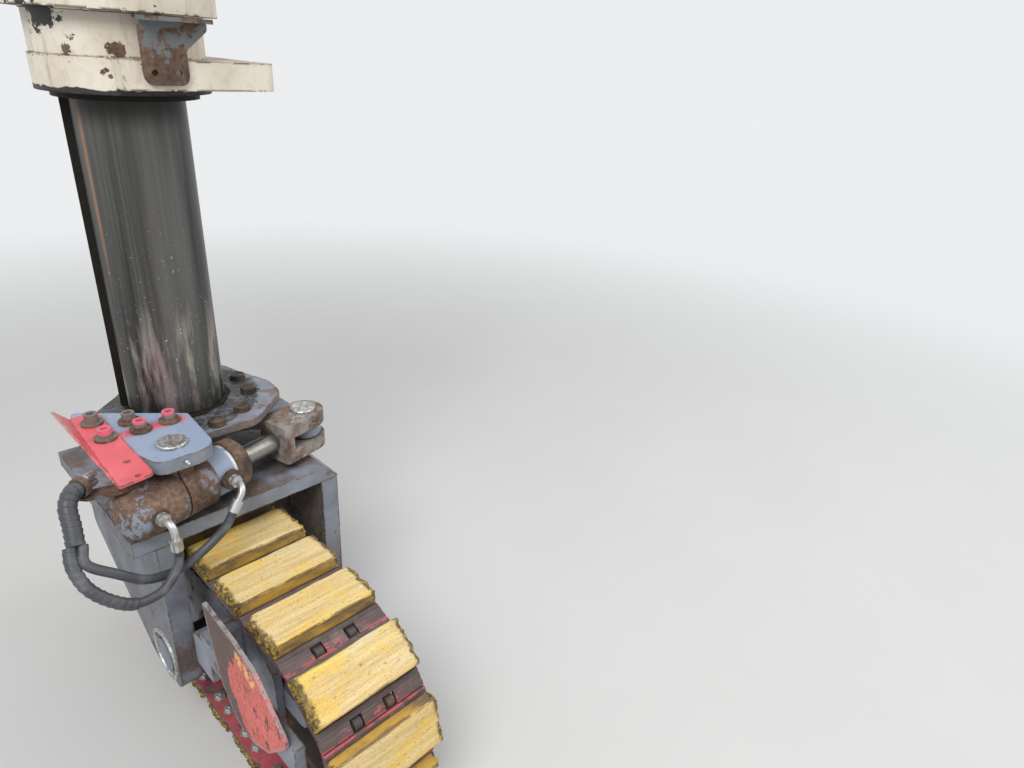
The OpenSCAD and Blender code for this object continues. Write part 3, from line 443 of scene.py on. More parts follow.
def fork_grey():
    """The fork's paint, gone to brown rust on its top and down its legs, with painted shade on faces that
    look left.
    """
    def weather(f):
        top = f.both(f.facing(Z), f.spots(17, 0.34, 0.62, detail=8, shift=31))
        front = f.either(f.facing(Y, -0.5, -0.8), 0.35)
        broken = f.spots(12, 0.34, 0.52, detail=9, rough=0.62, shift=33)
        legs = f.both(f.along(Z, LEG_TOP - 0.1, LEG_TOP - 0.34), broken, front)
        f.coat(f.either(top, legs), f.rust(5, 0.75), 0.85)
        left = f.facing(X, -0.5, -0.9)
        inside = f.both(left, f.along(X, 0.1, 0.2))
        # Painted shade: the inner leg's faces that look into the fork are darkened
        f.coat(inside, (0.04, 0.036, 0.034), 0.7)
        # Painted shade: faces that look left on the outer side, such as the outer leg's face, darkened blue
        # grey
        f.coat(f.both(left, f.along(X, 0.0, -0.05)), (0.085, 0.088, 0.098), 0.45)
        f.coat(f.both(inside, f.spots(60, 0.44, 0.6, detail=7, rough=0.7, shift=36)), (0.24, 0.17, 0.1))
    return worn_grey("fork_grey", 0.47, 0.62, 0.4, weather)


def flange_grey():
    """The flange's paint, black with grease round the tube."""
    def weather(f):
        rust = f.both(f.spots(14, 0.52, 0.62, detail=9, rough=0.66, shift=35), 0.9)
        rim = f.both(f.facing(Y, -0.3, -0.7), 0.7)
        f.coat(f.either(rust, rim), f.rust(7, 0.8))
        near = f.ragged(f.from_axis(TUBE_R + 0.15, TUBE_R - 0.02), 0.74, 0.84, 22, 37)
        specks = f.blend(f.spots(70, 0.44, 0.58, rough=0.7, shift=39), 0.95, 0.55)
        f.coat(f.both(near, f.facing(Z), specks), (0.03, 0.026, 0.023))
    return worn_grey("flange_grey", 0.46, 0.64, 0.4, weather)


def bracket_grey():
    """The bracket's paint, with painted blue sky light on its top faces, and red smears round the front
    screws.
    """
    def weather(f):
        top = f.facing(Z)
        # Painted light: top faces tinted sky blue, as lit by the sky
        f.coat(top, (0.4, 0.52, 0.74), 0.5)
        row = f.both(f.between(Y, *FRONT_SCREWS, 0.012), f.along(X, -0.04, -0.06), top)
        smear = f.both(row, f.spots(26, 0.36, 0.44, detail=8, rough=0.62, shift=41))
        f.coat(smear, (0.78, 0.14, 0.18))
        f.coat(f.both(top, f.spots(90, 0.7, 0.74, detail=4, shift=43)), (0.7, 0.7, 0.7))
    return worn_grey("bracket_grey", 0.5, 0.66, 0.2, weather)


def barrel_paint():
    """Rusty rear part with grey remains, a bare band, and blue grey paint up to the gland."""
    f = Finish("barrel_paint", metallic=0.05)
    rear = f.along(ROD_WAY, SEAM, SEAM - 0.002, PIVOT)
    front = f.along(ROD_WAY, BAND_END - 0.003, BAND_END, PIVOT)
    remains = f.both(rear, f.spots(30, 0.52, 0.56, detail=11, rough=0.74, shift=7))
    streaks = f.both(f.opposite(f.either(rear, front)), f.spots(26, 0.58, 0.66, detail=7, shift=9), 0.6)
    spoiled = f.spots(24, 0.62, 0.66, detail=9, rough=0.64, shift=4)
    painted = f.either(remains, streaks, f.without(front, spoiled))
    f.colour = f.rust(2)
    f.coat(painted, f.mix(f.both(front, 0.5), f.grey(5), (0.33, 0.43, 0.58)))
    line = f.along(ROD_WAY, BARREL_END - 0.01, BARREL_END - 0.004, PIVOT)
    f.coat(f.both(line, f.spots(40, 0.38, 0.5, shift=3)), (0.86, 0.86, 0.84))
    f.coat(f.between(ROD_WAY, SEAM - 0.002, SEAM + 0.002, 0.001, PIVOT), (0.04, 0.028, 0.022))
    neck = f.both(front, f.along(BARREL_SIDE, NECK_R + 0.0005, NECK_R + 0.0015, PIVOT))
    bosses = f.either(f.along(BARREL_SIDE, BARREL_R + 0.0005, BARREL_R + 0.0015, PIVOT), neck)
    f.coat(bosses, f.rust(6, 0.6))
    # Painted shade: darker in corners
    f.coat(f.corners(0.05, 0.25, 0.8), (0.04, 0.032, 0.028), 0.8)
    height = f.math("ADD", f.both(painted, 0.5), f.both(f.noise(150, detail=5), 0.5))
    return f.finish(f.blend(painted, 0.9, 0.5), height, 0.0008)


def clevis_paint():
    f = Finish("clevis_paint", metallic=0.1)
    remains = f.spots(22, 0.55, 0.6, detail=10, rough=0.72, shift=6)
    f.colour = f.rust(4)
    f.coat(f.spots(18, 0.4, 0.62, detail=8, rough=0.7, shift=16), (0.33, 0.3, 0.28))
    f.coat(remains, (0.4, 0.405, 0.425), 0.8)
    f.coat(f.spots(120, 0.66, 0.71, detail=4, shift=8), (0.52, 0.5, 0.47))
    # Painted shade: darker in corners
    f.coat(f.corners(0.04, 0.3, 0.8), (0.035, 0.028, 0.024))
    return f.finish(f.blend(remains, 0.85, 0.6), f.noise(140), 0.001)


def red_paint():
    """Red plate, chipped on its edges, and brown pink in patches along its raised lip."""
    f = Finish("red_paint")
    tone = f.noise(9, detail=5)
    f.colour = f.colours(tone, (0.3, (0.72, 0.125, 0.145)), (0.6, (0.84, 0.165, 0.195)),
                         (0.85, (0.88, 0.26, 0.29)))
    spots = f.spots(34, 0.7, 0.715, detail=7, rough=0.6, shift=6)
    bare = f.either(f.chips(0.005, 40, 0.5, 0.54, 14), spots)
    f.coat(bare, f.rust(1))
    lip = f.along(Z, BRACKET_TOP + 0.008, BRACKET_TOP + 0.026)
    brown_pink_lip = f.both(lip, f.spots(40, 0.44, 0.56, detail=8, stretch=(1, 0.4, 1), shift=4))
    # Brown pink patches along the raised lip
    f.coat(brown_pink_lip, (0.52, 0.36, 0.33), 0.75)
    f.coat(f.spots(24, 0.5, 0.8, detail=7, shift=9), (0.2, 0.11, 0.095), 0.35)
    return f.finish(f.blend(bare, 0.48, 0.9), f.opposite(bare), 0.0005)


def guard_paint():
    """Bare brown steel at the top, red below it with yellow remains, grey along the worn edge."""
    f = Finish("guard_paint")
    low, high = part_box("side_guard")
    red_middle = (low.x, (low.y + high.y) / 2 - 0.045, high.z - 0.152)
    scrape = f.spots(34, 0.57, 0.6, detail=10, rough=0.74, stretch=(1, 0.8, 0.6), shift=3)
    fine = f.both(f.spots(150, 0.56, 0.6, detail=7, rough=0.78, stretch=(1, 1.0, 0.5), shift=13), 0.7)
    bare = f.either(scrape, fine, f.opposite(f.near(red_middle, 0.126, 0.45)))
    f.colour = f.colours(f.noise(10, detail=5), (0.3, (0.64, 0.115, 0.09)), (0.7, (0.86, 0.19, 0.16)))
    f.coat(bare, f.mix(f.noise(60, detail=5), (0.085, 0.054, 0.048), (0.2, 0.135, 0.118)))
    yellow = f.both(f.between(YELLOW_WAY, 0.005, 0.087, 0.005, YELLOW_START),
                    f.between(YELLOW_UP, -0.016, 0.014, 0.004, YELLOW_START),
                    f.spots(64, 0.46, 0.49, rough=0.6, shift=19))
    f.coat(yellow, (0.86, 0.58, 0.19))
    edge = f.both(f.edges(0.012, 0.001, 0.02), f.spots(50, 0.34, 0.5, shift=23))
    f.coat(edge, (0.4, 0.375, 0.375), 0.85)
    return f.finish(f.blend(bare, 0.5, 0.75), f.opposite(bare), 0.0006)


def shoe_steel():
    """Purple brown steel with worn red paint on the lips, heels, inner faces and notches."""
    f = Finish("shoe_steel", metallic=0.15)
    x, y, z = f.kept("own_place")
    f.colour = f.mix(f.noise(55, stretch=(0.35, 1, 1)), (0.058, 0.041, 0.041), (0.21, 0.16, 0.15))
    f.coat(f.spots(22, 0.5, 0.72, detail=8, shift=5), (0.32, 0.285, 0.25), 0.5)
    worn = f.spots(60, 0.53, 0.57, detail=9, rough=0.74, stretch=(0.5, 1, 1), shift=2)
    middle_part = f.band(f.math("ABSOLUTE", x), 0.085, 0.07)
    flecked = f.both(f.band(y, BEND_Y - 0.004, BEND_Y - 0.01), middle_part, worn)
    rim = f.both(f.band(y, LIP_END + 0.004, LIP_END + 0.001), f.spots(30, 0.4, 0.46, shift=18))
    heel = f.spots(30, 0.42, 0.5, detail=8, rough=0.62, shift=16)
    heel = f.both(f.band(y, HEEL_Y - 0.006, HEEL_Y - 0.0035), heel, 0.85)
    inner = f.spots(30, 0.36, 0.46, detail=8, shift=26)
    inner = f.both(f.band(z, LINK_H / 2 + 0.001, LINK_H / 2 - 0.0005), inner)
    painted = f.either(flecked, rim, heel, inner)
    f.coat(painted, f.mix(f.noise(14, shift=8), (0.4, 0.06, 0.08), (0.66, 0.17, 0.2)))
    # Painted shade: darker in corners
    f.coat(f.corners(0.03, 0.3, 0.85), (0.022, 0.018, 0.017), 0.7)
    scratched = f.noise(80, stretch=(0.3, 1, 1), shift=4)
    return f.finish(f.blend(painted, 0.75, 0.5), scratched, 0.0008)


def link_steel():
    f = Finish("link_steel", metallic=0.3)
    grain = f.noise(70)
    f.colour = (0.085, 0.073, 0.068)
    f.coat(f.spots(12, 0.48, 0.66, detail=7, shift=3), f.rust(6, 0.8))
    return f.finish(f.blend(grain, 0.35, 0.8), grain, 0.001)


def pad():
    """Yellow cast pads: a worn beige grain on the treads, orange sides, black at the torn ends."""
    f = Finish("pad", specular=0.35)
    across, _, up = f.kept("own_place")
    grain = f.noise(60, detail=10, rough=0.72, stretch=(0.055, 1, 1), warp=0.35)
    long_lines = f.noise(260, detail=7, rough=0.78, stretch=(0.035, 1, 1), shift=3)
    contrast = f.band(grain, 0.3, 0.7)
    f.colour = f.mix(contrast, (0.64, 0.462, 0.208), (0.92, 0.722, 0.362))
    yellow = f.mix(contrast, (0.8, 0.505, 0.09), (0.96, 0.66, 0.13))
    f.coat(f.spots(10, 0.44, 0.62, detail=9, rough=0.66, stretch=(0.6, 1, 1), shift=2), yellow, 0.85)
    pale = f.spots(12, 0.58, 0.68, detail=9, rough=0.64, stretch=(0.4, 1, 1), shift=6)
    f.coat(pale, (0.7, 0.64, 0.54), 0.5)
    f.coat(f.band(long_lines, 0.52, 0.66), (0.4, 0.285, 0.14), 0.36)
    scratches = f.spots(90, 0.62, 0.68, rough=0.7, stretch=(0.05, 1, 1), shift=22)
    f.coat(scratches, (0.85, 0.79, 0.64), 0.8)
    specks = f.spots(430, 0.52, 0.66, detail=3, stretch=(0.45, 1, 1), shift=31)
    f.coat(specks, (0.42, 0.31, 0.16), 0.45)
    cloud = f.noise(34, stretch=(0.4, 1, 1), shift=8)
    soiled = f.mix(cloud, (0.52, 0.31, 0.075), (0.78, 0.48, 0.085))
    dirt = f.spots(16, 0.4, 0.62, detail=9, rough=0.66, stretch=(0.4, 1, 1), shift=9)
    f.coat(f.band(up, 0.014, 0.009), f.mix(dirt, soiled, (0.19, 0.14, 0.085)))
    end = f.both(f.band(f.math("ABSOLUTE", across), PAD_SIZE.x / 2 - 0.04, PAD_SIZE.x / 2 - 0.004), 0.5)
    crumbs = f.mix(f.spots(110, 0.42, 0.62), (0.045, 0.035, 0.02), (0.5, 0.35, 0.07))
    f.coat(f.ragged(end, 0.8, 0.9, 34, 12, detail=10, rough=0.74), crumbs, 0.85)
    cracks = f.spots(55, 0.44, 0.52, detail=9, rough=0.7, stretch=(0.25, 1, 1), shift=28)
    cracks = f.both(f.band(up, 0.006, 0.011), f.band(up, 0.0172, 0.015), cracks)
    f.coat(cracks, (0.13, 0.088, 0.045), 0.75)
    f.coat(f.spots(200, 0.62, 0.68, detail=5, stretch=(0.5, 1, 1), shift=5), (0.16, 0.105, 0.05), 0.6)
    height = f.math("ADD", f.both(grain, 0.4), f.both(long_lines, 0.6))
    return f.finish(f.blend(grain, 0.65, 0.9), height, 0.0006, soften=0.001)


def zinc():
    """Pitted plating on the pins' heads and the frame's bolts."""
    f = Finish("zinc", metallic=0.8)
    pits = f.noise(150, rough=0.65)
    f.colour = f.mix(f.band(pits, 0.4, 0.62), (0.33, 0.34, 0.32), (0.72, 0.74, 0.72))
    f.coat(f.spots(24, 0.48, 0.7, detail=7, shift=3), (0.28, 0.22, 0.16), 0.55)
    return f.finish(f.blend(pits, 0.3, 0.6), pits, 0.0006)


def fitting_zinc():
    """Duller plating on the hoses' fittings and the shoes' nuts."""
    f = Finish("fitting_zinc", metallic=0.8)
    dull = f.spots(35, 0.48, 0.72, detail=7, shift=3)
    f.colour = (0.56, 0.57, 0.56)
    f.coat(dull, (0.27, 0.23, 0.19), 0.7)
    return f.finish(f.blend(dull, 0.3, 0.55), f.noise(220, detail=5), 0.0002)


def patchy_rust():
    """Rust with remains of grey paint, darkened as painted shade, none of it at the collar bracket's foot.
    """
    f = Finish("patchy_rust", metallic=0.1)
    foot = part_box("collar_bracket")[0].z
    painted = f.either(f.along(Z, foot + 0.028, foot + 0.034), f.along(X, 0, -0.1))
    remains = f.both(f.spots(14, 0.5, 0.53, detail=10, rough=0.66, shift=6.4), painted)
    f.colour = f.rust(4, 0.8)
    # Painted shade: the grey remains are made darker than the grey paint elsewhere
    f.coat(remains, (0.15, 0.172, 0.182), 0.85)
    dark = f.both(f.spots(16, 0.5, 0.66, shift=14), f.opposite(remains))
    f.coat(dark, (0.045, 0.032, 0.028), 0.7)
    return f.finish(f.blend(remains, 0.88, 0.55), f.noise(140), 0.0009)


def bolt_steel():
    """Bolt heads under dirt and old grease."""
    f = Finish("bolt_steel", metallic=0.2)
    grain = f.noise(120, rough=0.65)
    f.colour = f.rust(8, 0.8)
    f.coat(f.spots(30, 0.36, 0.56, detail=8, shift=2), (0.036, 0.03, 0.026))
    return f.finish(f.blend(grain, 0.5, 0.9), grain, 0.0012)


def screw_steel():
    """Dull grey screws on rusty washers, the front ones with red tops."""
    f = Finish("screw_steel", metallic=0.35)
    grain = f.noise(110, rough=0.65)
    f.colour = f.mix(grain, (0.15, 0.13, 0.11), (0.36, 0.335, 0.3))
    washer = f.both(f.along(Z, BRACKET_TOP + 0.014, BRACKET_TOP + 0.01), f.spots(30, 0.36, 0.5, detail=7))
    f.coat(washer, f.rust(2, 1.1))
    front = f.along(Y, SCREW_ROWS_MEET + 0.002, SCREW_ROWS_MEET - 0.002)
    heads = f.along(Z, BRACKET_TOP + 0.018, BRACKET_TOP + 0.022)
    f.coat(f.both(front, heads, f.spots(60, 0.34, 0.42, shift=4)), (0.86, 0.21, 0.28))
    return f.finish(f.blend(grain, 0.45, 0.8), grain, 0.0006)


def grease():
    f = Finish("grease", specular=0.12)
    lumps = f.noise(55)
    f.colour = f.mix(lumps, (0.006, 0.006, 0.005), (0.022, 0.018, 0.014))
    return f.finish(f.blend(lumps, 0.35, 0.7), lumps, 0.002)


def hose_rubber():
    f = Finish("hose_rubber", specular=0.45)
    chalk = f.spots(18, 0.48, 0.74, detail=7, shift=4)
    f.colour = (0.068, 0.071, 0.08)
    f.coat(chalk, (0.24, 0.242, 0.255), 0.5)
    return f.finish(f.blend(chalk, 0.42, 0.7), f.noise(260, detail=4), 0.0003)


FINISHES = {
    cream_paint: ["guide_sleeve", "sleeve_cap"],
    slide_steel: ["column_tube"],
    rod_steel: ["piston_rod"],
    grease: ["guide_key", "seal_ring"],
    grey_paint: ["swivel_hub", "steering_arm", "track_frame", "idler_yoke", "guard_bracket", "axle_caps"],
    fork_grey: ["fork_plate", "fork_leg_outer", "fork_leg_inner"],
    flange_grey: ["column_flange"],
    bracket_grey: ["cylinder_bracket"],
    red_paint: ["red_plate"],
    barrel_paint: ["cylinder_barrel"],
    clevis_paint: ["clevis"],
    rusty_steel: ["guide_rings", "kingpin_keeper", "thrust_washer", "top_rails", "sprocket",
                  "cylinder_gland"],
    patchy_rust: ["collar_bracket", "hose_clamp"],
    bolt_steel: ["flange_bolts"],
    dark_steel: ["kingpin", "axle", "bottom_rollers", "idler_wheel", "tension_cylinder", "final_drive"],
    zinc: ["pivot_pin", "clevis_pin"],
    fitting_zinc: ["port_elbows", "hose_couplings"],
    screw_steel: ["bracket_screws"],
    guard_paint: ["side_guard"],
}


def dress_nodes():
    """Gives every CAD node that shows its finish, and returns the materials by name."""
    made = {}
    for make, names in FINISHES.items():
        material = made[make.__name__] = make()
        for name in names:
            NODES[name].data.materials.clear()
            NODES[name].data.materials.append(material)
    return made


# Pieces

class Shape:
    """Points and faces of one piece. Each point keeps its place in its own frame for the finish."""

    def __init__(self):
        self.points, self.own, self.faces = [], [], []

    def add(self, points, faces, where=Matrix()):
        first = len(self.points)
        self.points += [where @ p for p in points]
        self.own += points
        self.faces += [[first + i for i in face] for face in faces]

    def piece(self, name, body, material, replaces=(), smooth=True):
        mesh = bpy.data.meshes.new(name)
        mesh.from_pydata(self.points, [], self.faces)
        kept = mesh.attributes.new("own_place", "FLOAT_VECTOR", "POINT")
        kept.data.foreach_set("vector", [c for p in self.own for c in p])
        mesh.polygons.foreach_set("use_smooth", [smooth] * len(mesh.polygons))
        mesh.materials.append(material)
        made = bpy.data.objects.new(name, mesh)
        bpy.context.scene.collection.objects.link(made)
        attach(made, body)
        if replaces:
            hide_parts(*replaces)


def share(x, y, z):
    """Smooth noise from 0 to 1."""
    return min(1.0, max(0.0, 0.5 + 0.6 * noise.noise((x, y, z))))


def round_turns(count):
    """Cosine and sine of each of a number of even turns."""
    turns = [2 * math.pi * k / count for k in range(count)]
    return [(math.cos(turn), math.sin(turn)) for turn in turns]


def block_surface(counts):
    """Surface of a block as a lattice: its points run from 0 to 1 on each axis."""
    index, points, faces = {}, [], []

    def vertex(cell):
        if cell not in index:
            index[cell] = len(points)
            points.append(Vector(c / n for c, n in zip(cell, counts)))
        return index[cell]

    for axis in range(3):
        u, v = (axis + 1) % 3, (axis + 2) % 3
        for end in (0, counts[axis]):
            for i in range(counts[u]):
                for j in range(counts[v]):
                    square = []
                    for du, dv in ((0, 0), (1, 0), (1, 1), (0, 1)):
                        cell = [0, 0, 0]
                        cell[axis], cell[u], cell[v] = end, i + du, j + dv
                        square.append(vertex(tuple(cell)))
                    faces.append(square if end else square[::-1])
    return points, faces


def ring_faces(rings, sides, closed=False):
    """Faces between rings of points, and over the two ends of an open tube."""
    faces = []
    for i in range(rings if closed else rings - 1):
        a, b = i * sides, (i + 1) % rings * sides
        faces += [[a + k, a + (k + 1) % sides, b + (k + 1) % sides, b + k] for k in range(sides)]
    if not closed:
        faces += [list(range(sides))[::-1], [(rings - 1) * sides + k for k in range(sides)]]
    return faces


def prism(outline, x0, x1):
    """Solid between x0 and x1 with its outline in Y and Z."""
    n = len(outline)
    points = [Vector((x, y, z)) for x in (x0, x1) for y, z in outline]
    faces = [[k, (k + 1) % n, n + (k + 1) % n, n + k] for k in range(n)]
    return points, faces + [list(range(n))[::-1], list(range(n, 2 * n))]


def round_bar(radius, x0, x1, y, z=0.0):
    return prism([(y + radius * c, z + radius * s) for c, s in round_turns(24)], x0, x1)


def hexagon(across, height):
    """Hexagon nut on Z = 0, with a slightly chamfered top."""
    rings = ((across / math.sqrt(3), 0.0), (across / math.sqrt(3), height * 0.85), (across * 0.5, height))
    points = [Vector((r * c, r * s, z)) for r, z in rings for c, s in round_turns(6)]
    return points, ring_faces(3, 6)


# Track

def pin_at(u):
    """Place of a chain pin, u steps along the loop, from the middle between the wheels."""
    straight, arc = (SHOES - TEETH) / 2, TEETH / 2
    if u < straight:
        return Vector((SPAN / 2 - u * LINK_PITCH, PIN_RADIUS))
    if u < straight + arc:
        turn = (u - straight) * 2 * math.pi / TEETH
        return Vector((-SPAN / 2 - PIN_RADIUS * math.sin(turn), PIN_RADIUS * math.cos(turn)))
    return -pin_at(u - straight - arc)


def link_frame(i):
    """Frame of link i: X across, Y along the link, Z outwards."""
    a, b = pin_at(i + PHASE), pin_at(i + 1 + PHASE)
    centre, (cy, cz) = (a + b) / 2, (a - b).normalized()
    return Matrix(((1, 0, 0, 0), (0, cy, -cz, TRACK_Y + centre.x),
                   (0, cz, cy, WHEEL_Z + centre.y), (0, 0, 0, 1)))


# Pads: faces of the lattice on each axis, crowding of its points to the edges, and depths of the wear
PAD_LATTICE = (60, 22, 8)
PAD_CROWDING = 1.7
PAD_EDGE_R = 0.0015
PAD_WEAR = 0.007
PAD_TORN = 0.03
PAD_BITE = 0.022
PAD_NOTCH = 0.0035


def worn_pad(seed):
    """Pad with rounded, torn edges, from -half to half its size. Its points lie closer near the edges."""
    half = PAD_SIZE / 2
    points, faces = block_surface(PAD_LATTICE)
    shaped = []
    for unit in points:
        p = Vector(math.copysign(1 - (1 - abs(2 * u - 1)) ** PAD_CROWDING, u - 0.5) * h
                   for u, h in zip(unit, half))
        wear = share(p.x * 22, p.y * 30 + seed, p.z * 30)
        radius = PAD_EDGE_R + PAD_WEAR * wear * (0.45 if p.z < 0 else 1.0)
        inner = Vector(max(-h + radius, min(h - radius, c)) for c, h in zip(p, half))
        off = p - inner
        if off.length > 0:
            p = inner + off.normalized() * radius
        end = max(0.0, (abs(p.x) - half.x + PAD_TORN) / PAD_TORN)
        bite = share(p.y * 60, p.z * 60 + seed, seed * 3.1) * share(p.y * 190, p.z * 150, seed)
        p.x -= math.copysign(PAD_BITE * end * end * bite, p.x)
        height = (p.z + half.z) / (2 * half.z)
        grain = share(p.x * 9, p.y * 260, seed * 5.3)
        sag = share(p.x * 9 + seed, p.y * 12, seed)
        torn = end * end * share(p.x * 40, p.y * 50, seed * 7)
        p.z -= height * (0.0003 * grain + 0.001 * sag + 0.006 * torn)
        notch = share(p.x * 28, p.z * 25, seed * 2.3)
        p.y -= math.copysign(PAD_NOTCH * notch * height, p.y)
        shaped.append(p)
    return shaped, faces


def track_pads(material):
    shape = Shape()
    move = Matrix.Translation((0, (PAD_REAR + PAD_FRONT) / 2, LINK_H / 2 + SHOE_T + PAD_SIZE.z / 2))
    for i in range(SHOES):
        points, faces = worn_pad(i * 7.3)
        shape.add(points, faces, link_frame(i) @ move)
    shape.piece("tread_pads", "fork", material, ["track_pads"])


def track_shoes(material):
    """Shoe plates with fine ribs on the bare front lip, whose bent part has two notches."""
    shape = Shape()
    base, top, rib = LINK_H / 2 - 0.001, LINK_H / 2 + SHOE_T, 0.0016
    plate = [(HEEL_Y, base), (HEEL_Y, top - 0.002), (HEEL_Y - 0.002, top), (PAD_FRONT, top),
             (PAD_FRONT - 0.002, top + rib), (PAD_FRONT - 0.006, top + rib),
             (PAD_FRONT - 0.008, top - 0.001), (PAD_FRONT - 0.011, top - 0.001),
             (BEND_Y + 0.001, top), (BEND_Y, top - 0.0003), (BEND_Y, base)]
    lip = [(BEND_Y + 0.001, base), (BEND_Y + 0.001, top - 0.0003), (BEND_Y - 0.005, top - 0.002),
           (BEND_Y - 0.007, top - 0.0045), (BEND_Y - 0.014, top - 0.0065), (BEND_Y - 0.016, top - 0.0055),
           (LIP_END + 0.003, top - 0.009), (LIP_END, top - 0.011), (LIP_END, LINK_H / 2 - 0.006),
           (LIP_END + 0.002, LINK_H / 2 - 0.007)]
    link_x, notch = (LINK_IN + LINK_OUT) / 2, 0.014
    spans = [(-SHOE_HALF, -link_x - notch), (-link_x + notch, link_x - notch), (link_x + notch, SHOE_HALF)]
    for i in range(SHOES):
        shape.add(*prism(plate, -SHOE_HALF, SHOE_HALF), link_frame(i))
        for x0, x1 in spans:
            shape.add(*prism(lip, x0, x1), link_frame(i))
    shape.piece("track_shoes", "fork", material, ["track_chain"], smooth=False)


def link_plate(x0, x1, end):
    """Half of a link plate from its middle to a pin, rounded round the pin."""
    r, sign = LINK_H / 2, math.copysign(1, end)
    turns = [math.radians(degrees) for degrees in range(-90, 91, 15)]
    arc = [(end + sign * r * math.cos(turn), r * math.sin(turn)) for turn in turns]
    outline = [(0.0, -r * 0.8)] + arc + [(0.0, r)]
    return prism(outline if sign > 0 else outline[::-1], x0, x1)


# Link plates: how far two lap, and the boss, the nub and the pin's collar on them
OVERLAP = 0.0015
BOSS_R = 0.0165
BOSS_OUT = 0.0035
NUB_R = 0.013
NUB_UP = 0.018
COLLAR_R = 0.016


def track_links(material):
    """Pairs of link plates with bushes and pins, and a rounded nub that shows in each notch."""
    shape = Shape()
    half = LINK_PITCH / 2
    for i in range(SHOES):
        where = link_frame(i)
        for side in (-1, 1):
            for end, inset in ((half, 0.0), (-half, OVERLAP)):
                plate = sorted((side * (LINK_IN + inset), side * (LINK_OUT - inset)))
                shape.add(*link_plate(*plate, end), where)
            boss = sorted((side * (LINK_IN - BOSS_OUT), side * (LINK_OUT + BOSS_OUT)))
            shape.add(*round_bar(BOSS_R, *boss, -half), where)
            nub = sorted((side * (LINK_IN + 0.001), side * (LINK_OUT - 0.001)))
            shape.add(*round_bar(NUB_R, *nub, -half - BOSS_OUT, NUB_UP), where)
        for radius, reach in ((BUSH_R, LINK_IN + 0.002), (PIN_R, PIN_HALF), (COLLAR_R, LINK_OUT + 0.002)):
            shape.add(*round_bar(radius, -reach, reach, half), where)
    shape.piece("track_links", "fork", material, smooth=False)


# Shoe nuts: place from the middle and from the pad's edges, then across and height of each step
NUT_X = 0.098
NUT_INSET = 0.028
NUT_STEPS = ((0.032, 0.002), (0.024, 0.01), (0.011, 0.013))


def shoe_bolts(material):
    """Four nuts inside each shoe that hold its pad."""
    shape = Shape()
    flip = Matrix.Rotation(math.pi, 4, "X")
    for i in range(SHOES):
        for x in (-NUT_X, NUT_X):
            for y in (PAD_REAR - NUT_INSET, PAD_FRONT + NUT_INSET):
                seat = Matrix.Translation((x, y, LINK_H / 2 - 0.001))
                for across, height in NUT_STEPS:
                    shape.add(*hexagon(across, height), link_frame(i) @ seat @ flip)
    shape.piece("shoe_bolts", "fork", material, smooth=False)


# Hoses

# Radii, lean and reach of the port fittings, and the points that the hoses pass, in rod_frame()
HOSE_R = 0.01
WRAP_R = 0.018
BEND_R = 0.022
FERRULE = 0.041
FRONT_LEAN = math.radians(38)
FITTING_OUT = 0.018
PORT_OUT = 0.068
PORT_UP = 0.005
WRAP_ROUTE = [(-0.25, -0.041, 0.02), (-0.238, -0.017, 0.048), (-0.226, 0.01, 0.076), (-0.206, 0.028, 0.09),
              (-0.19, 0.034, 0.09), (-0.174, 0.04, 0.09)]
WRAP_SIDE = Vector((0.01, -0.005, 0))
REAR_MIDDLE = [(-0.112, -0.124, -0.092), (-0.15, -0.127, -0.118), (-0.204, -0.126, -0.111),
               (-0.242, -0.116, -0.082), (-0.268, -0.09, -0.046)]
FRONT_MIDDLE = [(0.006, -0.122, -0.066), (-0.04, -0.118, -0.088), (-0.08, -0.099, -0.116),
                (-0.125, -0.097, -0.11), (-0.172, -0.105, -0.083), (-0.217, -0.104, -0.038)]


def rod_frame():
    """Frame of the steering cylinder: X along its rod, Y across it, Z up."""
    turn = Matrix((ROD_WAY, Z.cross(ROD_WAY), Z)).transposed().to_4x4()
    return Matrix.Translation(PIVOT) @ turn


def hose_route(port, lean, middle_points, side):
    """Points of a hose from its fitting to the wrapped pair. lean turns the fitting's fall to the rear."""
    down = Vector((-math.sin(lean), 0, -math.cos(lean)))
    start = Vector((port, -PORT_OUT - FITTING_OUT - BEND_R, PORT_UP)) + (BEND_R + FERRULE) * down
    first, second = Vector(WRAP_ROUTE[0]), Vector(WRAP_ROUTE[1])
    return ([start, start + 0.02 * down] + [Vector(p) for p in middle_points]
            + [2 * first - second + side, first + side])


def smooth_route(points, steps):
    """Points and directions of a smooth curve through the given points."""
    route = []
    for i in range(len(points) - 1):
        b, c = points[i], points[i + 1]
        a = points[i - 1] if i else 2 * b - c
        d = points[i + 2] if i + 2 < len(points) else 2 * c - b
        for k in range(steps + (i == len(points) - 2)):
            u = k / steps
            bend, twist = 2 * a - 5 * b + 4 * c - d, 3 * b - a - 3 * c + d
            place = b + ((c - a) * u + bend * u * u + twist * u ** 3) / 2
            route.append((place, (c - a + 2 * bend * u + 3 * twist * u * u).normalized()))
    return route


def tube(route, radius, sides, side=Y, closed=False):
    """Round tube along a route. radius takes the distance along it and the share of a turn round it.

    side is a direction that the route never takes."""
    points, length = [], 0.0
    for i, (place, way) in enumerate(route):
        length += (place - route[i - 1][0]).length if i else 0.0
        a = way.cross(side).normalized()
        b = way.cross(a)
        for k, (c, s) in enumerate(round_turns(sides)):
            points.append(place + radius(length, k / sides) * (c * a + s * b))
    return points, ring_faces(len(route), sides, closed)


def bare(length, turn):
    """Radius of a hose without winding."""
    return HOSE_R


def wound(outer, lap, step):
    """Radius of a tube wound with a strip: each lap ends in a small step."""
    def radius(length, turn):
        place = (length / lap + turn) % 1.0
        return outer - step * (1.0 - place) - (0.6 * step if place > 0.93 else 0.0)
    return radius


